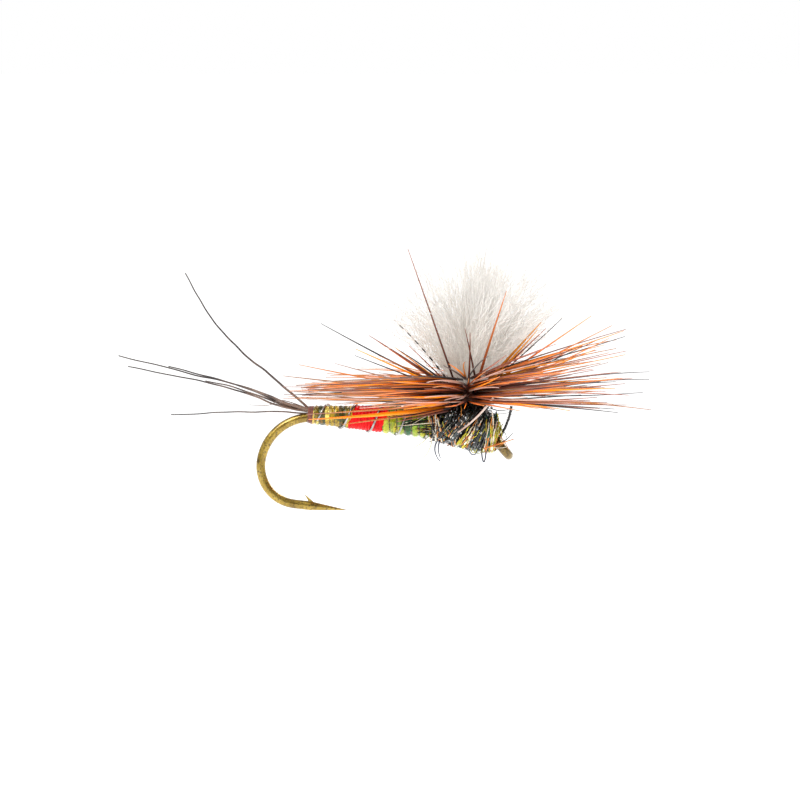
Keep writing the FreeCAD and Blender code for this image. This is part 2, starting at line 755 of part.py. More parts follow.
def check_all(pieces):
    """Stop if any object failed or any sub-part has no sound shape."""
    for thing in doc.Objects:
        if "Invalid" in thing.State or "Error" in thing.State:
            raise RuntimeError(f"{thing.Name} failed: {thing.State}")
    for piece in pieces:
        if piece.Shape.isNull() or not piece.Shape.isValid() or not piece.Shape.Solids:
            raise RuntimeError(f"{piece.Label} has no sound solid")


def write_all(pieces):
    """Write each sub-part to its own STEP file and print its size."""
    os.makedirs(OUT_FOLDER, exist_ok=True)
    for piece in pieces:
        piece.Shape.exportStep(os.path.join(OUT_FOLDER, f"{piece.Label}.step"))
        box = piece.Shape.BoundBox
        print(f"{piece.Label}: {len(piece.Shape.Solids)} solids, {piece.Shape.Volume:.4f} mm3, "
              f"x {box.XMin:.2f}..{box.XMax:.2f}, y {box.YMin:.2f}..{box.YMax:.2f}, "
              f"z {box.ZMin:.2f}..{box.ZMax:.2f}")


sub_parts = build_all()
check_all(sub_parts)
write_all(sub_parts)
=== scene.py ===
"""The looks of a parachute dry fly: hook, wound body, herl thorax, yarn wing, hackle and tail.

Everything is in metres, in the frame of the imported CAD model: the origin is the centre of the
hook's eye, +X points forwards past it, +Z up along the wing post. Sizes written with MM are
millimetres. Fibres, barbs and threads are real tapered tubes, gathered into one mesh per piece.
"""

import math
import random

import bpy
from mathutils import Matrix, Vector


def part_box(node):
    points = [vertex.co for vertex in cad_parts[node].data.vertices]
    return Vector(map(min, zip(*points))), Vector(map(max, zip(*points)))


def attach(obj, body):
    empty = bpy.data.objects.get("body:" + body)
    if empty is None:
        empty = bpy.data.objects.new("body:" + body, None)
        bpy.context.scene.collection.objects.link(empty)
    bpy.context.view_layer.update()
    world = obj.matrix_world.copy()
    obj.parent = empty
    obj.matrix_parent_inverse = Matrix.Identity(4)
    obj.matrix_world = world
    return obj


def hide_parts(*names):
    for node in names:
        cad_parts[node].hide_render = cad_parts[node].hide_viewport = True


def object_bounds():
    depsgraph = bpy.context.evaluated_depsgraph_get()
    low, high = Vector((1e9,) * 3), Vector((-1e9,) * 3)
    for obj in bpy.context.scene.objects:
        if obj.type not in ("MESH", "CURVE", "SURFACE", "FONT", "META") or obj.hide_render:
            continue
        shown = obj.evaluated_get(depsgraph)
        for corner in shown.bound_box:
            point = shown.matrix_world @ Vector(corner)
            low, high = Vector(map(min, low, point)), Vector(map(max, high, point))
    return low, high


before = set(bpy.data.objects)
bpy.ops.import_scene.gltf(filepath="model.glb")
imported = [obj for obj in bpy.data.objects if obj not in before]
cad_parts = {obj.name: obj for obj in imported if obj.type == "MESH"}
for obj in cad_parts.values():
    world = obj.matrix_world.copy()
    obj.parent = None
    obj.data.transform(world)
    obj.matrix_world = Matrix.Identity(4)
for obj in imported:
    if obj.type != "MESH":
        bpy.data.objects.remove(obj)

cad_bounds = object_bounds()

MM = 0.001
UP = Vector((0, 0, 1))
SIDE = Vector((0, 1, 0))
FULL_TURN = 2 * math.pi
END_RING = 0.15 * MM


def level(angle, depth=1.0):
    """A level direction at an angle from +X towards +Y; depth scales its share across the fly."""
    return Vector((math.cos(angle), math.sin(angle) * depth, 0))


def round_angles(count):
    """Angles that go evenly round a circle."""
    return [FULL_TURN * k / count for k in range(count)]


def even_shares(steps):
    """Even steps from 0 to 1."""
    return [i / steps for i in range(steps + 1)]


# ---- places read from the CAD model ----

def centre_of(node):
    """Middle of a node's box."""
    low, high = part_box(node)
    return (low + high) / 2


def mesh_points(node):
    """All vertices of a CAD node."""
    return [vertex.co.copy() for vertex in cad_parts[node].data.vertices]


def mean_point(points):
    """Average of some points."""
    return sum(points, Vector()) / len(points)


def ring_middle(node, along, front):
    """Middle of the ring of vertices at the front or rear end of a round node."""
    points = mesh_points(node)
    stations = [p.dot(along) for p in points]
    edge = max(stations) if front else min(stations)
    ring = [p for p, station in zip(points, stations) if abs(station - edge) < END_RING]
    low = Vector([min(p[i] for p in ring) for i in range(3)])
    high = Vector([max(p[i] for p in ring) for i in range(3)])
    return (low + high) / 2


def direction_of(node):
    """Direction of a straight round node that runs roughly along X, rear to front."""
    along = Vector((1, 0, 0))
    for _ in range(4):
        along = (ring_middle(node, along, True) - ring_middle(node, along, False)).normalized()
    return along


class Axis:
    """An axis in the XZ plane, with stations along it and angles round it, from the top to +Y."""

    def __init__(self, node, along):
        """The axis of a round node whose direction is known."""
        self.along = along
        self.up = along.cross(SIDE)
        heights = [p.dot(self.up) for p in mesh_points(node)]
        self.origin = self.up * (min(heights) + max(heights)) / 2

    def place(self, station, angle, radius):
        """Point at a station, an angle and a radius."""
        out = self.up * math.cos(angle) + SIDE * math.sin(angle)
        return self.origin + self.along * station + out * radius

    def station(self, point):
        """How far along the axis a point lies."""
        return (point - self.origin).dot(self.along)

    def outward(self, point):
        """The way from the axis straight out to a point."""
        return point - self.origin - self.along * self.station(point)

    def span(self, node):
        """First and last station of a node."""
        stations = [self.station(p) for p in mesh_points(node)]
        return min(stations), max(stations)

    def widest(self, node):
        """Largest radius of a node about the axis."""
        return max(self.outward(p).length for p in mesh_points(node))


def strand_ends(node, near):
    """Root and tip of a CAD strand: the ends nearest to and farthest from a point."""
    points = sorted(mesh_points(node), key=lambda p: (p - near).length)
    few = 6
    return mean_point(points[:few]), mean_point(points[-few:])


def post_point(height):
    """The point on the wing post's upright axis at a height."""
    return Vector((POST.x, 0, height))


ABDOMEN = Axis("flash_band", direction_of("flash_band"))
SHANK = Axis("thread_base", direction_of("thread_base"))
THORAX = Axis("thorax_core", SHANK.along)
POST = centre_of("post_wrap")
POST_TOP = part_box("post_wrap")[1].z
HACKLE_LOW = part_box("hackle_stem")[0].z
HACKLE_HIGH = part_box("hackle_stem")[1].z
HACKLE_CENTRE = post_point((HACKLE_LOW + HACKLE_HIGH) / 2)
HACKLE_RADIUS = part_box("hackle_barbs_turn_1")[1].y
WING_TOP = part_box("wing_post")[1].z
TAIL_ROOT = centre_of("tail_wrap")
THORAX_START, THORAX_END = THORAX.span("thorax_core")
THORAX_LENGTH = THORAX_END - THORAX_START
THORAX_RADIUS = THORAX.widest("thorax_core")


# ---- camera, lights and floor ----

# what the camera sees: width and middle of the view, and where the camera stands
VIEW_WIDTH = 40 * MM
VIEW_CENTRE = Vector((-5.085 * MM, 0, 2.345 * MM))
VIEW_DISTANCE = 0.60
VIEW_ELEVATION = math.radians(2.0)
SENSOR_WIDTH = 36.0
NEAREST_SEEN = 0.01

# strength of the white surroundings on the camera's side and behind the fly
NEAR_GLOW = 0.36
FAR_GLOW = 0.92

FLOOR_DROP = 25 * MM
FLOOR_HALF_WIDTH = 6.0


def point_at_fly(name, data, offset):
    """Stand a camera or a lamp at an offset from the middle of the view, facing it."""
    thing = bpy.data.objects.new(name, data)
    bpy.context.scene.collection.objects.link(thing)
    thing.location = VIEW_CENTRE + offset
    thing.rotation_euler = (-offset).to_track_quat("-Z", "Y").to_euler()
    return thing


def make_camera():
    """A long lens level with the fly, so that the hackle is seen nearly edge-on."""
    data = bpy.data.cameras.new("Camera")
    data.sensor_width = SENSOR_WIDTH
    data.lens = SENSOR_WIDTH * VIEW_DISTANCE / VIEW_WIDTH
    data.clip_start = NEAREST_SEEN
    back = Vector((0, -math.cos(VIEW_ELEVATION), math.sin(VIEW_ELEVATION)))
    bpy.context.scene.camera = point_at_fly("Camera", data, back * VIEW_DISTANCE)


def make_area_light(name, offset, size, power):
    """A soft square light that points at the fly."""
    data = bpy.data.lights.new(name, "AREA")
    data.size = size
    data.energy = power
    point_at_fly(name, data, offset)


def make_world():
    """White surroundings, darker on the camera's side so that metal and quills show their form."""
    s = Shader("Surroundings", bpy.data.worlds)
    depth = s.add("SeparateXYZ", {0: s.places["Generated"]}).outputs["Y"]
    shade = s.stretch(depth, -1.0, 0.6, NEAR_GLOW, FAR_GLOW)
    seen = s.add("LightPath").outputs["Is Camera Ray"]
    strength = s.add("Mix", {"Factor": seen, "A": shade, "B": 1.0}).outputs["Result"]
    light = s.add("Background", {"Color": "#ffffff", "Strength": strength}).outputs[0]
    s.add("OutputWorld", {0: light})
    bpy.context.scene.world = s.owner


def make_floor(material):
    """A wide pale floor, well under the fly, that runs out to a white horizon."""
    half = FLOOR_HALF_WIDTH
    height = cad_bounds[0][2] - FLOOR_DROP
    corners = [(-half, -half, height), (half, -half, height), (half, half, height),
               (-half, half, height)]
    mesh = bpy.data.meshes.new("Floor")
    mesh.from_pydata(corners, [], [(0, 1, 2, 3)])
    floor = bpy.data.objects.new("Floor", mesh)
    bpy.context.scene.collection.objects.link(floor)
    mesh.materials.append(material)


# ---- materials ----

def colour(tone):
    """A linear colour from a screen colour such as "#ff8000"."""
    def linear(place):
        share = int(tone[place:place + 2], 16) / 255
        return share / 12.92 if share <= 0.04045 else ((share + 0.055) / 1.055) ** 2.4
    return (linear(1), linear(3), linear(5), 1.0)


class Shader:
    """One node tree, built up with short calls. Colours are sockets or screen colours."""

    def __init__(self, name, kind=bpy.data.materials):
        self.owner = kind.new(name)
        self.owner.use_nodes = True
        self.tree = self.owner.node_tree
        self.tree.nodes.clear()
        self.places = self.add("TexCoord").outputs
        self.where = self.places["Object"]

    def add(self, kind, inputs=None, **settings):
        """Add a node. Each input takes a link from an output, a screen colour or a plain value."""
        node = self.tree.nodes.new("ShaderNode" + kind)
        for name, value in settings.items():
            setattr(node, name, value)
        for place, value in (inputs or {}).items():
            if isinstance(value, bpy.types.NodeSocket):
                self.tree.links.new(value, node.inputs[place])
            else:
                node.inputs[place].default_value = colour(value) if isinstance(value, str) else value
        return node

    def maths(self, operation, first, second=0.0):
        """One step of arithmetic."""
        return self.add("Math", {0: first, 1: second}, operation=operation).outputs[0]

    def stretch(self, value, low, high, to_low=0.0, to_high=1.0):
        """Map a range of values onto another, held at its ends."""
        return self.add("MapRange", {"Value": value, "From Min": low, "From Max": high,
                                     "To Min": to_low, "To Max": to_high}).outputs["Result"]

    def noise(self, feature, detail=3.0, vector=None):
        """Smooth noise whose lumps are about one feature across, in metres."""
        return self.add("TexNoise", {"Scale": 1.0 / feature, "Detail": detail,
                                     "Vector": vector or self.where}).outputs["Fac"]

    def cells(self, feature, vector):
        """Random value for each cell of a pattern of patches."""
        cell = self.add("TexVoronoi", {"Scale": 1.0 / feature, "Vector": vector}).outputs["Color"]
        return self.add("SeparateXYZ", {0: cell}).outputs["X"]

    def scaled(self, x, y, z, turn_y):
        """Object coordinates turned about Y and stretched, for streaks."""
        return self.add("Mapping", {"Rotation": (0, turn_y, 0), "Scale": (x, y, z),
                                    "Vector": self.where}).outputs[0]

    def distance(self, centre, flat=True):
        """Distance from a point, or from the upright line through it."""
        shift = self.add("VectorMath", {0: self.where, 1: centre}, operation="SUBTRACT").outputs[0]
        kept = (1, 1, 0) if flat else (1, 1, 1)
        shift = self.add("VectorMath", {0: shift, 1: kept}, operation="MULTIPLY").outputs[0]
        return self.add("VectorMath", {0: shift}, operation="LENGTH").outputs["Value"]

    def ramp(self, value, stops):
        """Colours along a value: stops are (place, colour) pairs."""
        node = self.add("ValToRGB", {0: value})
        band = node.color_ramp
        while len(band.elements) < len(stops):
            band.elements.new(0.5)
        for element, (place, tone) in zip(band.elements, stops):
            element.position = place
            element.color = colour(tone)
        return node.outputs["Color"]

    def mix(self, amount, first, second):
        """Mix two colours."""
        return self.add("Mix", {0: amount, 6: first, 7: second}, data_type="RGBA").outputs[2]

    def each_strand(self):
        """A random value that is the same all over one loose strand."""
        return self.add("NewGeometry").outputs["Random Per Island"]

    def tinted(self, tone, low, high):
        """Make each strand lighter or darker than its neighbours."""
        value = self.stretch(self.each_strand(), 0, 1, low, high)
        return self.add("HueSaturation", {"Value": value, "Color": tone}).outputs[0]

    def bump(self, height, depth, strength=0.6):
        """Surface relief from a height value; depth in metres."""
        return self.add("Bump", {"Distance": depth, "Strength": strength,
                                 "Height": height}).outputs[0]

    def grain(self, feature, depth, strength=0.4, detail=2.0):
        """Fine relief all over."""
        return self.bump(self.noise(feature, detail), depth, strength)

    def surface(self, base, roughness, normal=None, **settings):
        """The main surface shader; settings name its other sockets, with _ for a space."""
        inputs = {name.replace("_", " "): value for name, value in settings.items()}
        inputs.update({"Base Color": base, "Roughness": roughness})
        if normal is not None:
            inputs["Normal"] = normal
        return self.add("BsdfPrincipled", inputs).outputs[0]

    def done(self, shader):
        """Finish the material."""
        self.add("OutputMaterial", {"Surface": shader})
        return self.owner

    def solid(self, *arguments, **settings):
        """Finish as a solid surface."""
        return self.done(self.surface(*arguments, **settings))

    def glow_through(self, solid, tone, share):
        """Finish with part of the light passing through, as in thin fibres."""
        through = self.add("BsdfTranslucent", {"Color": tone}).outputs[0]
        return self.done(self.add("MixShader", {0: share, 1: solid, 2: through}).outputs[0])

    def fibre(self, tone, roughness, normal, share, **settings):
        """Finish as a thin fibre of one colour that lets a share of the light through."""
        return self.glow_through(self.surface(tone, roughness, normal, **settings), tone, share)


def floor_material():
    """Bright paper white, faintly uneven."""
    s = Shader("pale_floor")
    tone = s.ramp(s.noise(0.4), [(0.3, "#fafafa"), (0.7, "#ffffff")])
    return s.solid(tone, 0.9, Specular_IOR_Level=0.0, Emission_Color="#ffffff", Emission_Strength=0.5)


def bronze_material():
    """Bronzed hook wire: golden olive with browner patches and specks, darker near the eye."""
    s = Shader("hook_bronze")
    patches = s.noise(0.9 * MM, 4)
    tone = s.ramp(patches, [(0.30, "#6e561a"), (0.46, "#947a2a"), (0.62, "#ac9242"), (0.80, "#806424")])
    near_eye = s.stretch(s.distance(centre_of("head_wrap"), flat=False), 1.1 * MM, 2.2 * MM, 0.8, 0.0)
    tone = s.mix(near_eye, tone, "#4e3e22")
    tone = s.mix(s.stretch(s.noise(0.11 * MM), 0.50, 0.66, 0.0, 0.75), tone, "#3a2c14")
    rough = s.stretch(patches, 0.3, 0.7, 0.34, 0.48)
    return s.solid(tone, rough, s.grain(0.05 * MM, 0.004 * MM, 0.35, 3), Metallic=0.9,
                   Coat_Weight=0.6, Coat_Roughness=0.12)


def silver_material():
    """Ribbing wire: bright in places and tarnished in others."""
    s = Shader("rib_silver")
    tone = s.ramp(s.noise(0.25 * MM), [(0.3, "#605e5c"), (0.7, "#bab8b4")])
    return s.solid(tone, 0.24, s.grain(0.03 * MM, 0.002 * MM, 0.4, 3), Metallic=1.0)


def thread_material(name, dark, light):
    """Waxed thread, with the slight sheen and patchy colour of wound strands."""
    s = Shader(name)
    tone = s.ramp(s.noise(0.12 * MM), [(0.3, dark), (0.7, light)])
    return s.solid(s.tinted(tone, 0.8, 1.25), 0.45, s.grain(0.02 * MM, 0.004 * MM, 0.6), Sheen_Weight=0.2)


def film_material(name, gleam, tones):
    """Pearl film: patches of colour along the wraps, streaked and glossy; gleam is its metal share."""
    s = Shader(name)
    patches = s.cells(0.34 * MM, s.scaled(1.0, 0.8, 0.55, 0.35))
    streaks = s.noise(0.10 * MM, 3, s.scaled(2.2, 1.0, 0.5, 0.3))
    blend = s.maths("ADD", s.maths("MULTIPLY", patches, 0.62), s.maths("MULTIPLY", streaks, 0.40))
    places = [share * 0.8 + 0.08 for share in even_shares(len(tones) - 1)]
    fine = s.noise(0.035 * MM, 3, s.scaled(2.5, 1.0, 0.4, 0.3))
    rough = s.stretch(streaks, 0.3, 0.7, 0.12, 0.34)
    return s.solid(s.ramp(blend, list(zip(places, tones))), rough, s.bump(fine, 0.010 * MM, 0.7),
                   Metallic=gleam, Coat_Weight=0.12, Coat_Roughness=0.12)


def floss_material():
    """Red floss: fine glossy filaments round the body."""
    s = Shader("floss_red")
    filaments = s.noise(0.045 * MM, 3, s.scaled(2.4, 0.5, 0.5, 0.25))
    broad = s.noise(0.30 * MM, 2)
    blend = s.maths("ADD", s.maths("MULTIPLY", filaments, 0.6), s.maths("MULTIPLY", broad, 0.4))
    tone = s.ramp(blend, [(0.30, "#6e0002"), (0.48, "#cc0004"), (0.66, "#f0060a")])
    return s.solid(tone, 0.40, s.bump(filaments, 0.012 * MM, 0.8), Specular_IOR_Level=0.15)


def barb_material(name, through, stops):
    """Hackle barb: colour runs from the dark middle of the hackle out to the pale tips."""
    s = Shader(name)
    out = s.stretch(s.distance(POST), 0.0, HACKLE_RADIUS)
    wander = s.stretch(s.noise(1.1 * MM, 2), 0.3, 0.7, -0.07, 0.07)
    tone = s.tinted(s.ramp(s.maths("ADD", out, wander), stops), 0.65, 1.4)
    return s.fibre(tone, 0.33, s.grain(0.05 * MM, 0.004 * MM), through, Specular_IOR_Level=0.55)


def plain_fibre_material(name, dark, light, rough=0.4, through=0.2, low=0.75, high=1.3):
    """A fibre with patchy colour, each strand a little lighter or darker."""
    s = Shader(name)
    tone = s.tinted(s.ramp(s.noise(0.4 * MM), [(0.3, dark), (0.7, light)]), low, high)
    return s.fibre(tone, rough, s.grain(0.04 * MM, 0.004 * MM), through)


def herl_material(name, gloss_and_painted_glints):
    """Black herl, each strand near black or tinted dark green or bronze, with painted highlights: white
    specks from noise stand in for glints; gloss_and_painted_glints is the share of wet-looking shine and of
    painted glint.
    """
    s = Shader(name)
    hue = s.ramp(s.each_strand(), [(0.0, "#060707"), (0.62, "#0e100f"), (0.78, "#06241e"),
                                   (0.90, "#221c0c"), (0.97, "#3c4646")])
    tone = s.mix(s.stretch(s.noise(0.3 * MM), 0.4, 0.7, 0.0, 0.5), hue, "#040506")
    # painted highlight: white specks where the noise peaks stand in for glints off the herl
    tone = s.mix(s.stretch(s.noise(0.13 * MM, 2), 0.63, 0.69, 0.0, gloss_and_painted_glints), tone, "#e2e8ea")
    return s.solid(tone, 0.26, s.grain(0.03 * MM, 0.003 * MM), Specular_IOR_Level=0.15,
                   Coat_Weight=gloss_and_painted_glints, Coat_Roughness=0.06)


def tail_material():
    """Tail fibre: taupe at the root, nearly black towards the tip, with paler bars."""
    s = Shader("tail_fibre")
    out = s.stretch(s.distance(TAIL_ROOT, flat=False), 0.0, 9.5 * MM)
    bars = s.stretch(s.noise(0.9 * MM, 2), 0.35, 0.65, -0.16, 0.16)
    tone = s.ramp(s.maths("ADD", out, bars), [
        (0.00, "#705646"), (0.18, "#7e685c"), (0.38, "#4e3e38"), (0.62, "#2a2424"), (0.90, "#3c342e")])
    solid = s.surface(s.tinted(tone, 0.8, 1.25), 0.35, s.grain(0.04 * MM, 0.004 * MM))
    return s.glow_through(solid, tone, 0.12)


def wing_material():
    """Crinkled white yarn: off-white and translucent, warmer and greyer near the root as painted shade of
    the dense core, a little grey at the tips, with a faint painted glow from emission.
    """
    s = Shader("wing_yarn")
    out = s.stretch(s.distance(post_point(POST_TOP), flat=False), 0.0, 6.5 * MM)
    wander = s.stretch(s.noise(0.8 * MM), 0.3, 0.7, -0.15, 0.15)
    # painted shade: the warm grey stop at the root stands in for the shade inside the dense core
    tone = s.ramp(s.maths("ADD", out, wander), [
        (0.0, "#eee4da"), (0.25, "#faf6f0"), (0.7, "#faf8f5"), (1.0, "#eeebe7")])
    # painted glow: the emission stands in for light scattered through the yarn, so the wing glows though it
    # is no lamp
    return s.fibre(s.tinted(tone, 0.90, 1.02), 0.5, s.grain(0.04 * MM, 0.003 * MM, 0.3), 0.52,
                   Specular_IOR_Level=0.3, Emission_Strength=0.18)


# ---- meshes made of strands ----

class Strands:
    """Collects tapered tubes into one mesh."""

    def __init__(self):
        self.points = []
        self.faces = []
        self.looks = []

    def add(self, path, radius, sides=4, look=0, flat=1.0):
        """Add a closed tube along a path. radius maps 0..1 to a size; flat thins one width."""
        normal = (path[1] - path[0]).orthogonal().normalized()
        first = len(self.points)
        last = len(path) - 1
        for i, middle in enumerate(path):
            ahead = (path[min(i + 1, last)] - path[max(i - 1, 0)]).normalized()
            normal = (normal - ahead * normal.dot(ahead)).normalized()
            across = ahead.cross(normal)
            size = radius(i / last)
            for angle in round_angles(sides):
                reach = normal * (math.cos(angle) * size) + across * (math.sin(angle) * size * flat)
                self.points.append(middle + reach)
        faces = tube_faces(first, last, sides)
        self.faces.extend(faces)
        self.looks.extend([look] * len(faces))

    def make(self, name, materials, slot, *nodes):
        """Turn the strands into a piece that stands for some CAD nodes."""
        return make_piece(name, self.points, self.faces, materials, nodes, self.looks)


def make_piece(name, points, faces, materials, nodes=(), looks=None):
    """Make one visible piece of the fly that rides with it."""
    mesh = bpy.data.meshes.new(name)
    mesh.from_pydata(points, [], faces)
    for material in materials:
        mesh.materials.append(material)
    if looks:
        mesh.polygons.foreach_set("material_index", looks)
    mesh.polygons.foreach_set("use_smooth", [True] * len(mesh.polygons))
    mesh.update()
    piece = bpy.data.objects.new(name, mesh)
    bpy.context.scene.collection.objects.link(piece)
    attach(piece, "root")
    if nodes:
        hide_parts(*nodes)
    return piece


def tube_faces(first, steps, around):
    """Faces of a tube of rings whose points start at an index, closed at both ends."""
    faces = []
    end = first + steps * around
    for a in range(first, end, around):
        for k in range(around):
            k2 = (k + 1) % around
            faces.append((a + k, a + k2, a + around + k2, a + around + k))
    faces.append(tuple(reversed(range(first, first + around))))
    faces.append(tuple(range(end, end + around)))
    return faces


def steady(size):
    """The same radius all along."""
    return lambda share: size


def tapered(root, tip, power=1.0):
    """A radius that runs from root to tip; a higher power keeps it thick for longer."""
    return lambda share: root + (tip - root) * share ** power


def arched(root, direction, length, bend, steps):
    """A path that leaves the root straight and bends more and more. bend is a share of length."""
    return [root + (direction * t + bend * t * t) * length for t in even_shares(steps)]


def curved(first, lean, last, steps):
    """A quadratic curve from first to last that leans towards a middle point."""
    return [first * (1 - t) ** 2 + lean * 2 * t * (1 - t) + last * t * t for t in even_shares(steps)]


def crinkled(rng, path, height, wave):
    """Add the crinkle of loose yarn to a path: two slow waves across it, growing from the root."""
    ahead = (path[-1] - path[0]).normalized()
    across = ahead.orthogonal().normalized()
    other = ahead.cross(across)
    shifts = [rng.uniform(0, FULL_TURN) for _ in range(4)]
    pitches = [wave * rng.uniform(0.7, 1.4) for _ in range(4)]
    length = (path[-1] - path[0]).length
    result = []
    for i, point in enumerate(path):
        s = length * i / (len(path) - 1)
        grow = min(1.0, s / (1.2 * MM)) * height
        a = math.sin(FULL_TURN * s / pitches[0] + shifts[0])
        a += 0.5 * math.sin(FULL_TURN * s / (pitches[1] * 0.45) + shifts[1])
        b = math.sin(FULL_TURN * s / pitches[2] + shifts[2])
        b += 0.5 * math.sin(FULL_TURN * s / (pitches[3] * 0.45) + shifts[3])
        result.append(point + (across * a + other * b) * grow)
    return result


def random_across(rng, direction, size):
    """A random vector square to a direction."""
    across = direction.orthogonal().normalized()
    other = direction.cross(across).normalized()
    return across * rng.gauss(0, size) + other * rng.gauss(0, size)


# ---- wound body ----

def facet(angle, phase, sides):
    """How far a flat-sided wrap falls short of the round, as a share of its radius."""
    half = math.pi / sides
    within = (angle + phase) % (2 * half) - half
    return 1 - math.cos(half) / math.cos(within)


# the share of each turn of film, next to the turn before, that is painted dark as the shade in the groove
# between turns
SHADED_SEAM_SHARE = 0.15

# the band's rings: facets round, distance apart, reach under the band behind, slant and tucked ends
BAND_SIDES = 90
BAND_STEP = 0.030 * MM
BAND_OVERLAP = 0.06 * MM
BAND_SLANT = 0.17 * MM
BAND_TUCK = 0.03 * MM
SHARPEST_ROUND = math.radians(32)

TAG_SPAN = ABDOMEN.span("tag_flash")
FLASH_SPAN = ABDOMEN.span("flash_band")
BODY_SLOPE = (ABDOMEN.widest("flash_band") - ABDOMEN.widest("tag_flash")) / (FLASH_SPAN[1] - TAG_SPAN[1])
REAR_END = ABDOMEN.span("underbody")[0]
REAR_RADIUS = ABDOMEN.widest("flash_band") - BODY_SLOPE * (FLASH_SPAN[1] - REAR_END)


def wound_band(name, node, materials, wrap_width, wrap_height, jag, sides, seed):
    """A band of wound film or floss: bulging turns on the CAD band's cone, with slanted ends.
    Each turn takes one of the materials, and the last material paints the grooves between turns dark, as
    painted shade."""
    rng = random.Random(seed)
    start, end = ABDOMEN.span(node)
    steps = round((end - start) / BAND_STEP)
    phases = [rng.uniform(0, FULL_TURN) for _ in range(40)]
    turn_looks = [rng.randrange(max(1, len(materials) - 1)) for _ in phases]
    points = []
    looks = []
    for i, share in enumerate(even_shares(steps)):
        tuck = BAND_TUCK if i in (0, steps) else 0.0
        for angle in round_angles(BAND_SIDES):
            edge = BAND_SLANT * math.cos(angle) + jag * math.sin(5 * angle + phases[0])
            edge += jag * 0.6 * math.sin(11 * angle + phases[1])
            station = start - BAND_OVERLAP + (end - start + BAND_OVERLAP) * share + edge
            station = max(station, REAR_END)
            turns = (station - REAR_END) / wrap_width + angle / FULL_TURN
            lap = turns % 1.0
            turn = int(turns) % len(phases)
            height = wrap_height * (4 * lap * (1 - lap) - 0.5 + 0.15 * math.sin(3 * angle + phases[turn]))
            radius = REAR_RADIUS + BODY_SLOPE * (station - REAR_END)
            radius -= radius * facet(angle, phases[turn], sides)
            points.append(ABDOMEN.place(station, angle, radius + height - tuck))
            # painted shade: the start of each turn takes the last, dark material
            looks.append(len(materials) - 1 if lap < SHADED_SEAM_SHARE else turn_looks[turn])
    looks = looks[:steps * BAND_SIDES] + [0, 0]
    faces = tube_faces(0, steps, BAND_SIDES)
    piece = make_piece(name, points, faces, materials, [node], looks)
    piece.data.set_sharp_from_angle(angle=SHARPEST_ROUND)


# kinds of film: share of metal, and the colours of its patches
FILMS = {
    # near-black film painted into the grooves between turns as shade
    "seam_shade": (0.1, ["#060802", "#221e08", "#0c1004", "#3c2c0a", "#140c04"]),
    "olive": (0.35, ["#161604", "#846c0c", "#3a4608", "#baa022", "#5c3c0a", "#dece6e"]),
    "straw": (0.30, ["#5a4a0e", "#ccb42c", "#967016", "#e6d668", "#8c5a12"]),
    "moss": (0.35, ["#0e1606", "#40420a", "#1c2a08", "#74540e", "#2c1a06"]),
    "green": (0.30, ["#161804", "#768c06", "#04541e", "#a0ac0a", "#424604", "#cebe24"]),
    "lime": (0.30, ["#3c5a06", "#84a00e", "#387818", "#b0ac1e", "#6a760a"]),
    "deep": (0.35, ["#06180a", "#0a5828", "#283c08", "#546e0a", "#142406"]),
}


def make_abdomen():
    """Tag, floss and flash, each with its own wraps."""
    film = {name: film_material("flash_" + name, *look) for name, look in FILMS.items()}
    wound_band("tag_wraps", "tag_flash", [film["olive"], film["straw"], film["moss"], film["seam_shade"]],
               wrap_width=0.25 * MM, wrap_height=0.040 * MM, jag=0.012 * MM, sides=13,
               seed=11)
    wound_band("floss_wraps", "floss_band", [floss_material()],
               wrap_width=0.17 * MM, wrap_height=0.050 * MM, jag=0.035 * MM, sides=30,
               seed=12)
    wound_band("flash_wraps", "flash_band", [film["green"], film["lime"], film["deep"], film["seam_shade"]],
               wrap_width=0.37 * MM, wrap_height=0.090 * MM, jag=0.012 * MM, sides=15,
               seed=13)


def wind_thread(rng, name, node, material, turns, thread, radii_of):
    """Touching turns of thread over a CAD winding. radii_of gives the first and the last radius
    from the winding's widest."""
    axis = Axis(node, SHANK.along)
    start, end = SHANK.span(node)
    first, last = radii_of(axis.widest(node))
    path = []
    for share in even_shares(int(turns * 20)):
        radius = first + (last - first) * share + rng.uniform(-0.004, 0.004) * MM
        path.append(axis.place(start + (end - start) * share, -FULL_TURN * turns * share, radius))
    strand = Strands()
    strand.add(path, steady(thread), sides=6)
    strand.make(name, [material], "thread_brown")


def make_threads(material):
    """The visible windings: over the tail's roots, and at the head."""
    rng = random.Random(21)
    wind_thread(rng, "tail_thread", "tail_wrap", material, turns=5.5, thread=0.030 * MM,
                radii_of=lambda wide: (wide - 0.01 * MM, wide + 0.04 * MM))
    wind_thread(rng, "head_thread", "head_wrap", material, turns=8.5, thread=0.026 * MM,
                radii_of=lambda wide: (wide, wide * 0.76))


# ---- tail ----

# for each CAD tail fibre: root radius in mm, how long it stays thick, and the points it bends
# through, each as a share of its length with the lift and the shift sideways in mm
TAIL_SHAPES = [
    ("tail_fibre_1", 0.070, 0.9, [(0.28, -0.42, 0.0), (0.55, -0.86, 0.0), (0.80, -0.80, 0.0)]),
    ("tail_fibre_2", 0.044, 0.8, [(0.30, 0.12, 0.0), (0.65, 0.10, 0.0)]),
    ("tail_fibre_3", 0.092, 0.45, [(0.14, -0.03, -0.05), (0.34, 0.24, 0.0), (0.62, 0.14, 0.0)]),
    ("tail_fibre_4", 0.086, 0.45, [(0.14, -0.13, -0.20), (0.34, 0.10, -0.1), (0.62, 0.16, 0.0)]),
    ("tail_fibre_5", 0.096, 0.50, [(0.18, 0.04, -0.30), (0.42, 0.16, -0.2), (0.70, 0.12, 0.0)]),
    ("tail_fibre_6", 0.078, 0.50, [(0.22, -0.14, -0.10), (0.50, 0.02, 0.0), (0.78, 0.06, 0.0)]),
]
TAIL_TIP = 0.030

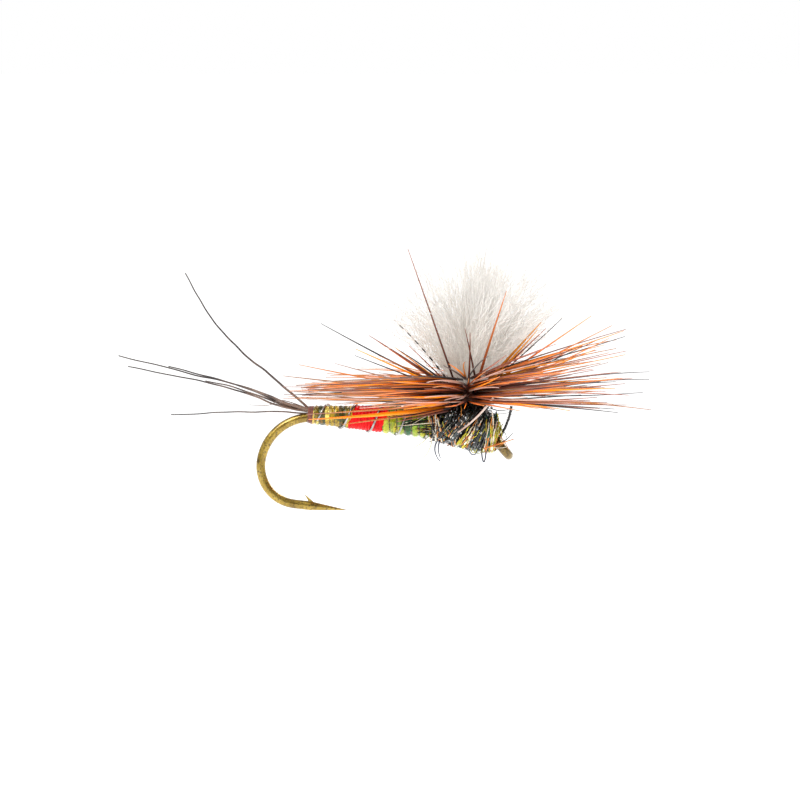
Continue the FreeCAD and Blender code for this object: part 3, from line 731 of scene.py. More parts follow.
# the points of the short stray fibre, in mm from the tail's root
TAIL_STRAY = [(0.0, -0.2, 0.28), (-1.4, -0.3, 0.72), (-2.1, -0.35, 0.48), (-3.1, -0.4, 0.50)]


def through(points, steps):
    """A smooth curve through all the points (Catmull-Rom)."""
    ends = [points[0] * 2 - points[1]] + points + [points[-1] * 2 - points[-2]]
    path = []
    for a, b, c, d in zip(ends, ends[1:], ends[2:], ends[3:]):
        for t in even_shares(steps)[:-1]:
            path.append((b * 2 + (c - a) * t + (a * 2 - b * 5 + c * 4 - d) * t * t
                         + (b * 3 - a - c * 3 + d) * t ** 3) / 2)
    path.append(points[-1])
    return path


def make_tail(material):
    """Six fibres from the tail wrap, each with its own bends, and one short pale stray."""
    rng = random.Random(31)
    for node, thickness, hold, bends in TAIL_SHAPES:
        root, tip = strand_ends(node, TAIL_ROOT)
        reach = tip - root
        marks = [root - reach * 0.03]
        for share, lift, sideways in bends:
            marks.append(root + reach * share + UP * lift * MM + SIDE * sideways * MM)
        path = crinkled(rng, through(marks + [tip], 12), 0.014 * MM, 2.8 * MM)
        strand = Strands()
        strand.add(path, tapered(thickness * MM, TAIL_TIP * MM, hold), sides=7)
        strand.make(node + "_fine", [material], "tail_fibre", node)
    strand = Strands()
    path = [TAIL_ROOT + Vector(step) * MM for step in TAIL_STRAY]
    strand.add(through(path, 8), tapered(0.030 * MM, 0.012 * MM), sides=5)
    strand.make("tail_stray", [material], "tail_fibre")


# ---- hackle ----

GINGER, BROWN, GRIZZLY, PALE, GOLD, BARRED = range(6)

# barbs seen on their own: azimuth of the root in degrees, tip from the hackle's centre in mm,
# bend upwards, colour group, thickness in mm before STRAY_BOLD makes it stand out
STRAY_BOLD = 1.25
STRAY_BARBS = [
    # steep ones, left of the wing and in front of it
    (225, (-2.95, -3.6, 7.3), 0.03, BROWN, 0.044),
    (215, (-3.6, -2.8, 3.7), -0.14, BARRED, 0.042),
    (225, (-3.4, -1.8, 2.2), -0.10, GRIZZLY, 0.048),
    (215, (-2.9, -0.8, 2.4), -0.03, GINGER, 0.034),
    (215, (-0.9, -1.3, 1.6), -0.02, BROWN, 0.036),
    (-85, (0.15, -2.9, 3.1), 0.00, BROWN, 0.050),
    (-18, (-0.1, -2.7, 3.3), 0.00, BROWN, 0.048),
    (-50, (1.95, -4.2, 5.2), 0.03, GINGER, 0.064),
    (-60, (0.8, -1.2, 1.6), 0.05, GRIZZLY, 0.028),
    # left
    (180, (-7.3, 1.0, 3.45), 0.02, GRIZZLY, 0.050),
    (200, (-4.9, -0.6, 2.9), -0.04, BROWN, 0.058),
    (195, (-4.6, -0.2, 2.7), -0.02, GINGER, 0.054),
    (190, (-3.6, -0.5, 2.3), -0.02, GOLD, 0.048),
    (205, (-5.55, -1.5, 2.25), 0.02, GOLD, 0.056),
    (200, (-4.4, -1.0, 1.9), 0.00, GINGER, 0.050),
    (185, (-5.6, 0.8, 1.85), 0.02, GRIZZLY, 0.040),
    (185, (-6.6, 1.0, 1.45), 0.02, PALE, 0.050),
    (180, (-8.4, 0.5, 1.4), 0.02, GINGER, 0.052),
    (180, (-9.2, 0.2, 0.85), 0.02, GINGER, 0.056),
    (180, (-9.2, -0.4, 0.32), 0.00, BROWN, 0.036),
    # the near ones that cross the body
    (225, (-7.9, -2.9, -1.22), 0.02, GOLD, 0.110),
    (229, (-6.2, -2.9, -1.47), 0.01, GINGER, 0.064),
    (225, (-8.0, -3.0, -0.96), 0.02, BROWN, 0.044),
    (222, (-6.9, -2.8, -0.90), 0.02, GINGER, 0.050),
    (235, (-3.5, -2.2, -1.36), 0.00, BROWN, 0.060),
    (232, (-3.1, -2.0, -1.16), 0.00, GINGER, 0.054),
    (238, (-3.9, -2.3, -1.18), 0.00, GRIZZLY, 0.050),
    # the next three thick pale near-side barbs are partly painted highlight: made pale and wide to stand in
    # for the bright strips by the hub
    (228, (-5.2, -2.9, -0.36), 0.00, PALE, 0.080),
    (235, (-4.2, -3.6, -0.40), 0.00, PALE, 0.090),
    (240, (-3.2, -4.4, -0.20), 0.00, PALE, 0.080),
    (232, (-4.0, -3.9, -0.05), 0.00, GRIZZLY, 0.060),
    # right, from the steepest down
    (-25, (3.7, -2.2, 3.6), 0.00, GOLD, 0.080),
    (-20, (3.5, -2.3, 3.2), 0.00, GOLD, 0.066),
    (-18, (3.95, -2.0, 3.3), 0.02, BROWN, 0.056),
    (-12, (4.75, -2.0, 3.8), 0.02, GRIZZLY, 0.032),
    (-8, (6.2, -1.6, 3.9), 0.01, GINGER, 0.052),
    (-5, (7.25, -0.8, 3.4), 0.01, GINGER, 0.046),
    (-5, (7.1, -0.6, 2.75), 0.08, GINGER, 0.040),
    (10, (6.5, 1.0, 2.6), 0.00, GRIZZLY, 0.034),
    (-10, (6.4, -0.9, 2.2), 0.05, GOLD, 0.038),
    (-15, (5.2, -1.5, 2.2), 0.03, BROWN, 0.046),
    (5, (7.1, 0.9, 1.5), 0.02, PALE, 0.040),
    (0, (9.15, 0.1, 1.06), -0.10, GRIZZLY, 0.042),
    (5, (9.15, 0.6, 0.66), -0.09, GRIZZLY, 0.042),
    (-20, (7.76, -1.6, 0.80), -0.02, GOLD, 0.060),
    (-20, (7.2, -1.9, 0.75), -0.01, GINGER, 0.060),
    (-10, (7.9, -0.9, 0.50), 0.02, BROWN, 0.036),
    (-15, (7.4, -1.8, 0.30), 0.00, GOLD, 0.056),
    (-10, (8.1, -0.8, -0.08), -0.05, BROWN, 0.036),
    (0, (8.8, -0.6, 0.05), 0.07, GRIZZLY, 0.030),
    (-15, (9.2, -1.2, -0.80), -0.09, GINGER, 0.040),
    (-30, (8.0, -1.4, -0.55), 0.03, BROWN, 0.040),
    (-35, (7.0, -2.2, -0.40), 0.03, BROWN, 0.040),
]

HACKLE_TURNS = 5
BARB_TIP = 0.016 * MM
BARBS_PER_TURN = 54
BARBS_PER_TUFT = 3
HUB_RADIUS = 0.45 * MM
BAR_PITCH = 0.62 * MM

# how far out the single and the draped barbs start, in mm; how many short barbs are draped over
# the front of the body, and the azimuths of their roots
STRAY_ROOT_RADIUS = 0.6
DRAPED_ROOT_RADIUS = 0.5
DRAPED_BARBS = 46
DRAPED_FROM_DEG, DRAPED_TO_DEG = 205, 250

# share of each colour group among the barbs behind the wing and in front of it
REAR_LOOKS = [(GINGER, 0.30), (BROWN, 0.22), (GRIZZLY, 0.08), (PALE, 0.17), (GOLD, 0.23)]
FRONT_LOOKS = [(GINGER, 0.33), (BROWN, 0.37), (GRIZZLY, 0.09), (PALE, 0.06), (GOLD, 0.15)]


def pick_look(rng, groups):
    """Pick a barb's colour group by its share."""
    value = rng.random()
    for look, share in groups:
        value -= share
        if value < 0:
            return look
    return BROWN


def barred_material():
    """A barb with dark and pale bars across it."""
    s = Shader("barb_barred")
    wave = s.maths("SINE", s.maths("MULTIPLY", s.distance(POST, flat=False), FULL_TURN / BAR_PITCH))
    tone = s.ramp(s.stretch(wave, -1, 1), [(0.45, "#e2dcd6"), (0.62, "#181416")])
    return s.solid(tone, 0.35, s.grain(0.05 * MM, 0.004 * MM))


def barb_materials():
    """The colour groups of barbs, in the order of their look numbers. Each has the share of light
    that it lets through and its colours by share of the hackle's radius."""
    groups = [
        ("barb_ginger", 0.35, [
            (0.06, "#461c0a"), (0.16, "#ac5420"), (0.42, "#e48a40"), (0.72, "#e6a05a"), (0.98, "#ce926c")]),
        ("barb_brown", 0.28, [
            (0.06, "#1e0c06"), (0.20, "#683424"), (0.48, "#a6624a"), (0.78, "#b0725e"), (0.98, "#b07e70")]),
        ("barb_grizzly", 0.08, [(0.06, "#0a0808"), (0.40, "#262020"), (0.80, "#3e383a"), (0.98, "#585456")]),
        ("barb_pale", 0.40, [(0.05, "#825c4e"), (0.18, "#dec0b0"), (0.70, "#d6b6a8"), (0.98, "#d6bcb2")]),
        ("barb_gold", 0.35, [
            (0.06, "#783c04"), (0.18, "#e08806"), (0.45, "#fcac0e"), (0.75, "#f69e1a"), (0.98, "#de8c54")]),
    ]
    return [barb_material(*group) for group in groups] + [barred_material()]


def ring_shape(node):
    """Height and rise of a CAD ring of barbs; the rise is a slope."""
    points = mesh_points(node)
    edge = 0.95 * HACKLE_RADIUS
    tips = [p for p in points if (p - POST).xy.length > edge]
    roots = [p for p in points if (p - POST).xy.length < 0.12 * HACKLE_RADIUS]
    height = mean_point(roots).z
    return height, (mean_point(tips).z - height) / HACKLE_RADIUS


def barb_slope(rise, height, forward):
    """Slope of a barb: the turns close up behind the wing and open like a fan in front of it."""
    opening = 0.66 + 0.44 * forward
    gather = 1.15 * max(0.0, -forward) * (height - HACKLE_CENTRE.z) / HACKLE_RADIUS
    return rise * opening + 0.004 + 0.018 * forward - gather


def add_barb(strands, rng, root, reach, bend, look, thickness):
    """One hackle barb: a stiff tapered fibre with a slight bend."""
    length = reach.length
    direction = reach / length
    bow = UP * bend + random_across(rng, direction, 0.016)
    path = arched(root, direction - bow, length, bow, 14)
    strands.add(path, tapered(thickness, BARB_TIP, 1.6), sides=5, look=look)


def hackle_turn(number, materials):
    """The barbs of one turn of hackle, gathered in loose tufts."""
    rng = random.Random(40 + number)
    node = f"hackle_barbs_turn_{number}"
    height, rise = ring_shape(node)
    strands = Strands()
    for i, even in enumerate(round_angles(BARBS_PER_TURN)):
        place = i % BARBS_PER_TUFT
        if place == 0:
            tuft = rng.gauss(0, 0.005 + 0.014 * max(0.0, math.cos(even)))
        out = level(FULL_TURN * (i - 0.45 * place + rng.gauss(0, 0.45)) / BARBS_PER_TURN)
        loose = 0.008 + 0.034 * max(0.0, out.x) + 0.01 * abs(out.y)
        slope = barb_slope(rise, height, out.x) + tuft + rng.gauss(0, loose)
        length = HACKLE_RADIUS * rng.uniform(0.86, 1.0) - HUB_RADIUS
        length *= 1 - 0.34 * max(0.0, out.x) * rng.random() ** 0.7
        if rng.random() < 0.2:
            length *= rng.uniform(0.5, 0.88)
        root = post_point(height) + out * HUB_RADIUS
        root.z += rng.uniform(-0.08, 0.08) * MM
        bend = rng.gauss(-0.01, 0.030)
        thickness = rng.uniform(0.034, 0.056) * MM
        look = pick_look(rng, REAR_LOOKS if out.x < 0 else FRONT_LOOKS)
        add_barb(strands, rng, root, (out + UP * slope) * length, bend, look, thickness)
    strands.make(f"hackle_turn_{number}", materials, "hackle_barb", node)


def make_hackle():
    """All turns of hackle, the barbs that stray from them and the short ones draped below."""
    materials = barb_materials()
    for number in range(1, HACKLE_TURNS + 1):
        hackle_turn(number, materials)
    rng = random.Random(47)
    strays = Strands()
    for azimuth_deg, tip, bend, look, thickness in STRAY_BARBS:
        drop = min(0.0, tip[2]) * 0.9
        root = HACKLE_CENTRE + (level(math.radians(azimuth_deg)) + UP * drop) * STRAY_ROOT_RADIUS * MM
        reach = HACKLE_CENTRE + Vector(tip) * MM - root
        add_barb(strays, rng, root, reach, bend, look, thickness * STRAY_BOLD * MM)
    for _ in range(DRAPED_BARBS):
        out = level(math.radians(rng.uniform(DRAPED_FROM_DEG, DRAPED_TO_DEG)))
        root = HACKLE_CENTRE + out * DRAPED_ROOT_RADIUS * MM - UP * rng.uniform(0.10, 0.32) * MM
        reach = (out - UP * rng.uniform(0.0, 0.07)) * HACKLE_RADIUS * rng.uniform(0.34, 0.66)
        look = rng.choice([BROWN, BROWN, PALE, PALE, GINGER, GOLD, GRIZZLY])
        add_barb(strays, rng, root, reach, rng.uniform(0.0, 0.03), look, rng.uniform(0.04, 0.07) * MM)
    strays.make("hackle_strays", materials, "hackle_barb")


# ---- wing ----

# the wing's slope forwards, and how far it fans across as a share of how far it fans along
WING_LEAN = 0.10
WING_DEPTH = 0.6

# in mm: radius of the bound foot, how deep the fibres sit in it and how far outer locks shift out
WING_FOOT_RADIUS = 0.42
WING_SINK = 0.25
WING_FOOT_SHIFT = 0.25

# locks in each half of the wing, and the fibres of its innermost and outermost lock
LOCKS_PER_HALF = 37
FULL_LOCK = 36
THIN_LOCK = 6


def add_lock(strands, rng, lean, count, longest):
    """One lock of the wing's yarn: fibres that leave the post together and then drift apart."""
    height = WING_TOP - POST_TOP
    out = level(rng.uniform(0, FULL_TURN), WING_DEPTH)
    bow = out * (rng.uniform(-0.05, 0.15) + 0.22 * lean) + UP * rng.uniform(-0.05, 0.05) * lean
    length = height * rng.uniform(0.80, 1.03) * longest
    for _ in range(count):
        foot = level(rng.uniform(0, FULL_TURN)) * WING_FOOT_RADIUS * MM * math.sqrt(rng.random())
        root = post_point(POST_TOP - WING_SINK * MM) + foot + out * WING_FOOT_SHIFT * MM * min(lean, 1)
        heading = UP + out * lean * 0.72 + Vector((WING_LEAN, 0, 0))
        direction = (heading + random_across(rng, heading, 0.10)).normalized()
        own_bow = bow + random_across(rng, direction, 0.045)
        own_length = length * rng.uniform(0.66, 1.06) / math.sqrt(1 + 0.42 * lean * lean)
        path = arched(root, direction, own_length, own_bow, 15)
        path = crinkled(rng, path, rng.uniform(0.03, 0.10) * (1 + lean) * MM, 1.2 * MM)
        strands.add(path, tapered(0.019 * MM, 0.016 * MM), sides=3)


def make_wing():
    """The yarn wing: full locks in the middle, thinner ones that fan out to a loose halo."""
    material = wing_material()
    rng = random.Random(51)
    for part, nodes in (("near", ["wing_post"]), ("far", [])):
        strands = Strands()
        for i in range(LOCKS_PER_HALF):
            share = i / LOCKS_PER_HALF
            lean = 0.05 + 1.32 * share ** 1.05 + rng.uniform(-0.08, 0.08)
            count = round(FULL_LOCK - (FULL_LOCK - THIN_LOCK) * share ** 0.62)
            add_lock(strands, rng, lean, count, 1.0 - 0.08 * share)
        strands.make(f"wing_locks_{part}", [material], "wing_yarn", *nodes)


# ---- thorax ----

HERL, YELLOW, ORANGE, CREAM, TEAL, SLATE, QUILL = range(7)

# how many loose fibres each part of the thorax has
BELLY_FIBRES = 70
COLLAR_HAIRS = 260
FRONT_HAIRS = 420
REAR_TIPS = 104

BOUND_POST_RADIUS = 0.40 * MM
BOUND_POST_FOOT = 1.2 * MM


def thorax_materials():
    """Colour groups of the thorax's fibres, in the order of their look numbers."""
    return [
        herl_material("herl_fringe", 0.05),
        plain_fibre_material("dubbing_yellow", "#969614", "#e2d63c"),
        plain_fibre_material("dubbing_orange", "#a65416", "#f0a44e"),
        plain_fibre_material("dubbing_cream", "#cec0a4", "#fcf6e6"),
        plain_fibre_material("dubbing_teal", "#144c3c", "#60b08c"),
        plain_fibre_material("hair_slate", "#262a34", "#5c6270", through=0.05),
        herl_material("herl_quill", 0.9),
    ]


def thorax_share(station):
    """Where a station lies on the thorax: 0 at its rear face, 1 at its front face."""
    return (station - THORAX_START) / THORAX_LENGTH


def thorax_station(share):
    """The station at a share of the thorax's length."""
    return THORAX_START + THORAX_LENGTH * share


def thorax_radius(station):
    """Outline of the finished thorax: it swells towards the head and then closes over it."""
    share = min(max(thorax_share(station), 0.0), 1.32)
    swell = 0.80 + 0.24 * math.sin(math.pi / 2 * min(share, 1.0))
    return (swell - 3.0 * max(0.0, share - 1.0) ** 2) * MM


def thorax_outline(station, angle):
    """Outline round the thorax: on top the dressing is heaped up to meet the hackle."""
    share = min(max(thorax_share(station), 0.0), 1.0)
    fade = 1 - max(0.0, share - 0.85) / 0.15
    heap = (0.36 + 0.20 * share) * fade * max(0.0, math.cos(angle)) ** 2
    return thorax_radius(station) + heap * MM


def clear_of_post(point):
    """Whether a point is outside the bound post, so that fibres don't run through it."""
    return (point - POST).xy.length > BOUND_POST_RADIUS or point.z < BOUND_POST_FOOT


def add_wrapped_fibre(strands, rng, station, first, last, lean, lift, size, look):
    """A fibre that hugs the thorax from one angle to another; lean carries it forwards, as a
    slope, on its way up."""
    path = []
    for t in even_shares(10):
        angle = first + (last - first) * t
        along = station + lean * abs(last - first) * (t - 0.5) * THORAX_RADIUS
        bulge = lift * (0.25 + abs(2 * t - 1) ** 2)
        path.append(THORAX.place(along, angle, thorax_outline(along, angle) + bulge))
    if all(clear_of_post(p) for p in path):
        path = crinkled(rng, path, 0.022 * MM, 0.8 * MM)
        strands.add(path, tapered(size, size * 0.5), sides=5, look=look)


def make_thorax_core(material):
    """The lumpy dark core under the herl."""
    rng = random.Random(61)
    phases = [rng.uniform(0, FULL_TURN) for _ in range(3)]
    around, steps = 48, 50
    points = []
    for share in even_shares(steps):
        station = THORAX_START + THORAX_LENGTH * 1.16 * share
        ends = math.sqrt(max(0.0, 1 - (2 * share - 1) ** 10))
        for angle in round_angles(around):
            lump = math.sin(4 * angle + phases[0] + 5 * share)
            lump += math.sin(7 * angle - 9 * share + phases[1])
            lump += math.sin(11 * angle + 17 * share + phases[2])
            radius = thorax_outline(station, angle) + (0.025 * lump - 0.17) * MM
            points.append(THORAX.place(station, angle, radius * (0.35 + 0.65 * ends)))
    make_piece("thorax_dubbing", points, tube_faces(0, steps, around), [material],
               ["thorax_core"])


HERL_STRANDS = 4


def herl_quill(number, turns):
    """Path of one herl strand: it climbs the near side leaning forwards."""
    start = THORAX_START + (0.02 + 0.05 * number) * MM
    run = THORAX_LENGTH * 1.02 - 0.2 * MM
    path = []
    for t in even_shares(150):
        station = start + run * t
        angle = FULL_TURN * (turns * t + number / HERL_STRANDS)
        path.append(THORAX.place(station, angle, thorax_outline(station, angle) - 0.06 * MM))
    return path


def make_herl(materials):
    """Herl strands: a glossy lumpy quill with painted white glints, wound round the thorax, with a fringe of
    short fibres.
    """
    for number in range(1, HERL_STRANDS + 1):
        rng = random.Random(70 + number)
        strands = Strands()
        quill = herl_quill(number, 1.6)
        lumps = rng.uniform(38, 46)
        kept = [p for p in quill if clear_of_post(p)]
        strands.add(kept, lambda t: (0.086 + 0.026 * math.sin(FULL_TURN * lumps * t)) * MM, sides=8,
                    look=QUILL)
        for i in range(1, len(quill) - 1):
            base = quill[i]
            if not clear_of_post(base):
                continue
            out = THORAX.outward(base).normalized()
            ahead = (quill[i + 1] - quill[i - 1]).normalized()
            for _ in range(2):
                heading = (out * rng.uniform(0.15, 0.6) + ahead * rng.gauss(0.5, 0.5)
                           + THORAX.along * rng.gauss(0.0, 0.6)).normalized()
                bend = ahead * rng.gauss(0.2, 0.2) - out * 0.35
                path = arched(base, heading, rng.uniform(0.16, 0.40) * MM, bend, 5)
                strands.add(path, tapered(0.022 * MM, 0.009 * MM), sides=4, look=HERL)
        strands.make(f"herl_{number}", materials, "herl_black", f"herl_strand_{number}")


# groups of fibres on the thorax: share along it, lean in degrees, count, width in mm, first and
# last angle in degrees (0 is the top, -90 the near side), colour groups
FIBRE_GROUPS = [
    (0.05, -16, 18, 0.70, -142, -52, (ORANGE, CREAM, ORANGE, YELLOW, QUILL)),
    (0.29, 42, 9, 0.60, -145, -92, (ORANGE, CREAM, ORANGE, YELLOW)),
    (0.36, 40, 26, 1.30, -135, -30, (QUILL, HERL, QUILL)),
    (0.45, 44, 5, 0.50, -125, -64, (CREAM, ORANGE)),
    (0.50, -12, 4, 0.22, -74, -40, (ORANGE, CREAM)),
    (0.66, 32, 11, 0.44, -152, -86, (YELLOW, ORANGE, YELLOW, CREAM)),
    (0.80, 36, 7, 0.44, -130, -60, (CREAM, ORANGE)),
    (0.88, 20, 20, 0.70, -150, -48, (QUILL, HERL, QUILL)),
    (1.04, -4, 12, 0.40, -158, -46, (CREAM, ORANGE, YELLOW, TEAL)),
    (1.16, 8, 10, 0.28, -160, -62, (YELLOW, CREAM, ORANGE)),
]

# how much thicker the glossy black strands are than the bright fibres
QUILL_BOLD = 1.5


def make_dubbing(materials):
    """Bright fibres and glossy black strands, in small groups that lie side by side."""
    rng = random.Random(81)
    strands = Strands()
    for side, shift in ((1, 0.0), (-1, 0.07)):
        for share, lean_deg, count, width, first, last, looks in FIBRE_GROUPS:
            for i in range(count):
                station = thorax_station(share + shift) + rng.uniform(-0.5, 0.5) * width * MM
                low = side * math.radians(first + rng.uniform(-10, 14))
                high = side * math.radians(last + rng.uniform(-26, 8))
                lean = math.tan(math.radians(lean_deg + rng.gauss(0, 6)))
                size = rng.uniform(0.026, 0.056) * MM
                look = looks[i % len(looks)]
                if look == QUILL:
                    size *= QUILL_BOLD
                add_wrapped_fibre(strands, rng, station, low, high, lean, rng.uniform(0.02, 0.12) * MM,
                                  size, look)
    for _ in range(BELLY_FIBRES):
        station = thorax_station(rng.uniform(0.0, 1.22))
        angle = rng.choice([-1, 1]) * rng.uniform(1.9, 3.3)
        look = rng.choice([YELLOW, ORANGE, CREAM, TEAL, HERL, HERL, HERL])
        add_wrapped_fibre(strands, rng, station, angle, angle + rng.uniform(0.3, 0.8),
                          rng.uniform(-1.2, 1.2), rng.uniform(0.02, 0.16) * MM,
                          rng.uniform(0.014, 0.026) * MM, look)
    strands.make("thorax_fibres", materials, "thorax_dubbing")


def make_collar(materials):
    """Herl that stands up round the foot of the post and fills the gap under the hackle."""
    rng = random.Random(88)
    strands = Strands()
    for _ in range(COLLAR_HAIRS):
        out = level(rng.uniform(0, FULL_TURN))
        spot = rng.uniform(0.42, 1.25) * MM
        root = post_point(0) + Vector((out.x * spot * 1.05, out.y * spot * 0.62, 0))
        root.z = (1.86 - 0.12 * root.x / MM) * MM
        heading = (UP * rng.uniform(0.5, 1.0) + out * rng.uniform(-0.1, 0.8)
                   + SHANK.along * rng.gauss(-0.2, 0.5)).normalized()
        path = arched(root, heading, rng.uniform(0.12, 0.30) * MM, -UP * rng.uniform(0.1, 0.5), 5)
        if all(clear_of_post(p) for p in path):
            strands.add(path, tapered(0.030 * MM, 0.012 * MM), sides=4, look=HERL)
    strands.make("herl_collar", materials, "herl_black")


def make_front_fibres(materials):
    """Herl and dubbing that cover the thorax's front face, round the head."""
    rng = random.Random(97)
    strands = Strands()
    for _ in range(FRONT_HAIRS):
        angle = rng.uniform(0, FULL_TURN)
        root = THORAX.place(thorax_station(rng.uniform(1.08, 1.17)), angle,
                            THORAX_RADIUS * rng.uniform(0.10, 1.0))
        out = THORAX.outward(root).normalized()
        heading = (out * rng.uniform(0.5, 1.0) + THORAX.along * rng.uniform(0.0, 0.5)
                   + random_across(rng, out, 0.35)).normalized()
        bend = -THORAX.along * rng.uniform(0.1, 0.4)
        path = arched(root, heading, rng.uniform(0.16, 0.42) * MM, bend, 6)
        look = HERL if rng.random() < 0.72 else rng.choice([YELLOW, ORANGE, CREAM, TEAL])
        strands.add(path, tapered(0.036 * MM, 0.012 * MM), sides=5, look=look)
    strands.make("front_fibres", materials, "thorax_dubbing")


def make_rear_spikes(materials):
    """Herl tips that point back and down from the thorax over the green flash."""
    rng = random.Random(91)
    strands = Strands()
    for i in range(REAR_TIPS):
        side = -1 if i % 3 else 1
        angle = side * rng.uniform(0.25, 2.3)
        root = THORAX.place(THORAX_START + rng.uniform(0.0, 0.5) * MM, angle,
                            THORAX_RADIUS * rng.uniform(0.98, 1.12))
        out = THORAX.outward(root).normalized()
        fall = 0.55 * max(0.0, math.cos(angle) + 0.2)
        heading = (-THORAX.along - UP * fall + out * rng.uniform(-0.02, 0.16)).normalized()
        length = rng.uniform(0.5, 1.1) * MM * (2.1 if abs(angle) < 1.4 else 1.0)
        look = HERL if rng.random() < 0.82 else rng.choice([YELLOW, ORANGE, CREAM])
        path = arched(root, heading, length, random_across(rng, heading, 0.06), 7)
        strands.add(path, tapered(0.034 * MM, 0.010 * MM), sides=5, look=look)
    strands.make("herl_tips", materials, "herl_black")


# loops and hairs that hang under the thorax: start, lean and end in mm from the eye, size, look
HANGING_HAIRS = [
    ((-3.14, -0.55, 0.45), (-3.58, -0.60, -0.11), (-3.09, -0.60, -0.70), 0.052, SLATE),
    ((-3.10, -0.50, 0.35), (-3.26, -0.55, -0.15), (-3.05, -0.55, -0.56), 0.044, SLATE),
    ((-3.70, -0.30, 0.50), (-4.05, -0.35, 0.10), (-4.60, -0.35, -0.12), 0.018, YELLOW),
    ((-3.50, -0.30, 0.30), (-3.60, -0.35, -0.35), (-4.05, -0.35, -0.62), 0.016, YELLOW),
    ((-3.55, -1.00, 1.70), (-4.05, -1.05, 1.42), (-4.60, -1.00, 1.10), 0.022, CREAM),
    ((-0.90, -0.95, -0.05), (0.05, -0.95, 0.25), (0.60, -0.80, 0.42), 0.050, ORANGE),
    ((0.02, -0.70, 0.28), (0.30, -0.72, 0.40), (0.56, -0.70, 0.74), 0.034, HERL),
    ((-0.18, -0.75, 1.34), (0.12, -0.78, 0.84), (-0.08, -0.75, 0.10), 0.030, YELLOW),
    ((-0.33, -0.78, 0.74), (0.18, -0.80, 0.40), (0.32, -0.78, -0.10), 0.028, ORANGE),
    ((-0.40, -0.80, 0.02), (-0.05, -0.82, -0.06), (0.32, -0.80, 0.05), 0.032, CREAM),
    ((-0.30, -0.76, -0.06), (0.00, -0.78, 0.16), (0.20, -0.76, 0.30), 0.028, ORANGE),
    ((-0.50, -0.98, 1.80), (-0.36, -1.00, 1.20), (-0.44, -0.98, 0.60), 0.030, CREAM),
    ((-0.24, -0.75, 1.70), (-0.04, -0.78, 1.10), (-0.24, -0.75, 0.34), 0.028, YELLOW),
    ((-0.20, -0.72, 1.05), (0.22, -0.74, 0.80), (0.24, -0.72, 0.46), 0.026, HERL),
    ((-0.55, -0.40, 1.95), (-0.05, -0.45, 1.72), (0.42, -0.45, 1.93), 0.030, HERL),
    ((-0.62, -0.42, 1.72), (-0.05, -0.45, 1.60), (0.36, -0.45, 1.74), 0.024, HERL),
]

# closed loops under the thorax: top centre in mm from the eye, width, drop, size, look
HANGING_LOOPS = [
    ((-0.90, -0.45, -0.05), 0.22, 0.68, 0.038, SLATE),
    ((-1.42, -0.50, 0.02), 0.46, 0.40, 0.030, SLATE),
    ((-1.40, -0.55, 0.00), 0.34, 0.28, 0.020, YELLOW),
    ((-1.15, -0.50, -0.15), 0.30, 0.16, 0.016, YELLOW),
]


def make_hanging_hairs(materials):
    """The few loops and hairs that show on their own below and ahead of the thorax."""
    strands = Strands()
    for first, lean, last, size, look in HANGING_HAIRS:
        path = curved(Vector(first) * MM, Vector(lean) * MM, Vector(last) * MM, 14)
        strands.add(path, tapered(size * MM, size * 0.4 * MM), sides=5, look=look)
    for top, width, drop, size, look in HANGING_LOOPS:
        path = []
        for t in even_shares(20):
            x = -math.cos(math.pi * t) * width / 2
            z = -math.sin(math.pi * t) * drop
            path.append((Vector(top) + Vector((x, 0, z))) * MM)
        strands.add(path, steady(size * MM), sides=5, look=look)
    strands.make("hanging_hairs", materials, "thorax_dubbing")


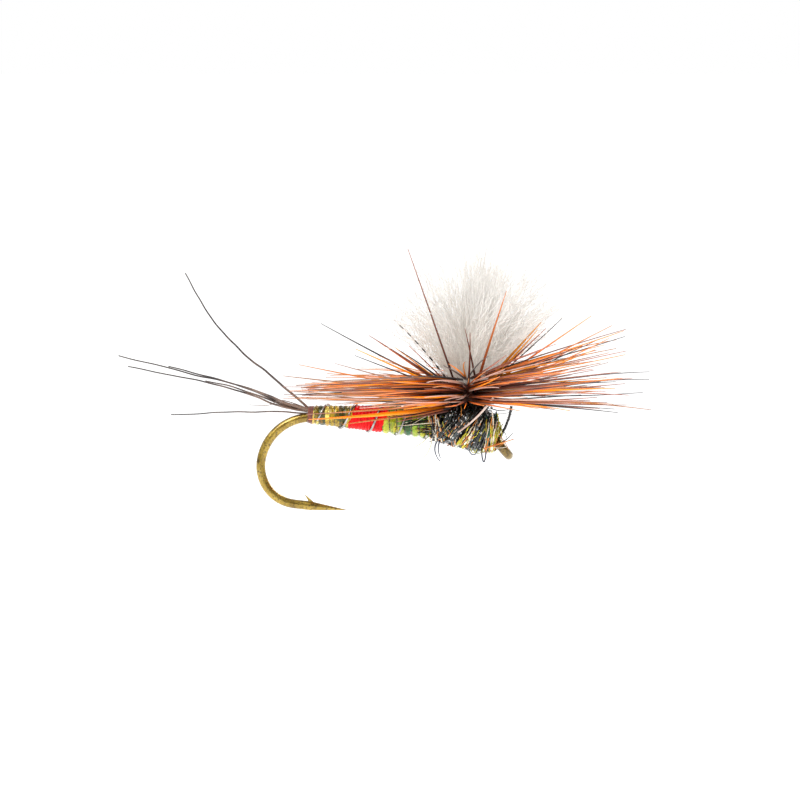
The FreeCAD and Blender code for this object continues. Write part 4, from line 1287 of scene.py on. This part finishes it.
def make_herl_tag(materials):
    """The loose herl end that stands up in front of the head."""
    rng = random.Random(95)
    root, tip = strand_ends("herl_tag", Vector())
    lean = root + (UP * 0.62 + Vector((0.42, 0, 0))).normalized() * (tip - root).length * 0.55
    path = curved(root, lean, tip, 26)
    strands = Strands()
    strands.add(path, lambda t: (0.066 + 0.014 * math.sin(90 * t)) * MM, sides=8, look=QUILL)
    for i in range(2, 25):
        ahead = (path[i + 1] - path[i - 1]).normalized()
        for _ in range(4):
            heading = (random_across(rng, ahead, 1.0).normalized() + ahead * 0.8).normalized()
            strands.add(arched(path[i], heading, rng.uniform(0.08, 0.16) * MM, ahead * 0.2, 4),
                        tapered(0.016 * MM, 0.006 * MM), sides=4, look=HERL)
    strands.make("herl_end", materials, "herl_black", "herl_tag")


def make_quill_butt():
    """The pale flat end of the hackle quill, slanting down the near side."""
    material = plain_fibre_material("quill_pale", "#c4a494", "#eedcd0",
                                    rough=0.45, through=0.15, low=0.95, high=1.05)
    low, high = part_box("hackle_butt")
    depth = low.y + 0.02 * MM
    first = Vector((high.x + 0.38 * MM, depth, high.z + 0.40 * MM))
    last = Vector((low.x + 0.05 * MM, depth, low.z + 0.02 * MM))
    lean = (first + last) / 2 + Vector((0.18, 0, -0.16)) * MM
    strands = Strands()
    strands.add(curved(first, lean, last, 22), tapered(0.072 * MM, 0.050 * MM), sides=8, flat=0.6)
    strands.make("quill_end", [material], "hackle_quill", "hackle_butt")


# ---- everything together ----

def dress_cad_node(node, material):
    """Give a CAD node that stays visible its finished material."""
    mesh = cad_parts[node].data
    mesh.materials.clear()
    mesh.materials.append(material)


bpy.context.scene.view_settings.view_transform = "Standard"
make_camera()
make_world()
make_floor(floor_material())
make_area_light("KeyLight", Vector((-0.25, -0.30, 0.45)), size=0.30, power=3.0)
make_area_light("RimLight", Vector((0.30, 0.35, 0.30)), size=0.25, power=2.0)

brown_thread = thread_material("thread_brown", "#3a160c", "#803e26")
dress_cad_node("hook", bronze_material())
dress_cad_node("rib_wire", silver_material())
for thread_node in ("thread_base", "tail_wrap", "post_wrap", "head_wrap"):
    dress_cad_node(thread_node, brown_thread)
dress_cad_node("underbody", thread_material("floss_padding", "#786438", "#aa9460"))
dress_cad_node("hackle_stem", thread_material("hackle_quill", "#36180e", "#78422c"))

make_abdomen()
make_threads(brown_thread)
make_tail(tail_material())
make_hackle()
make_wing()
fibre_looks = thorax_materials()
make_thorax_core(fibre_looks[HERL])
for make_part in (make_herl, make_dubbing, make_collar, make_front_fibres, make_rear_spikes,
                  make_hanging_hairs, make_herl_tag):
    make_part(fibre_looks)
make_quill_butt()
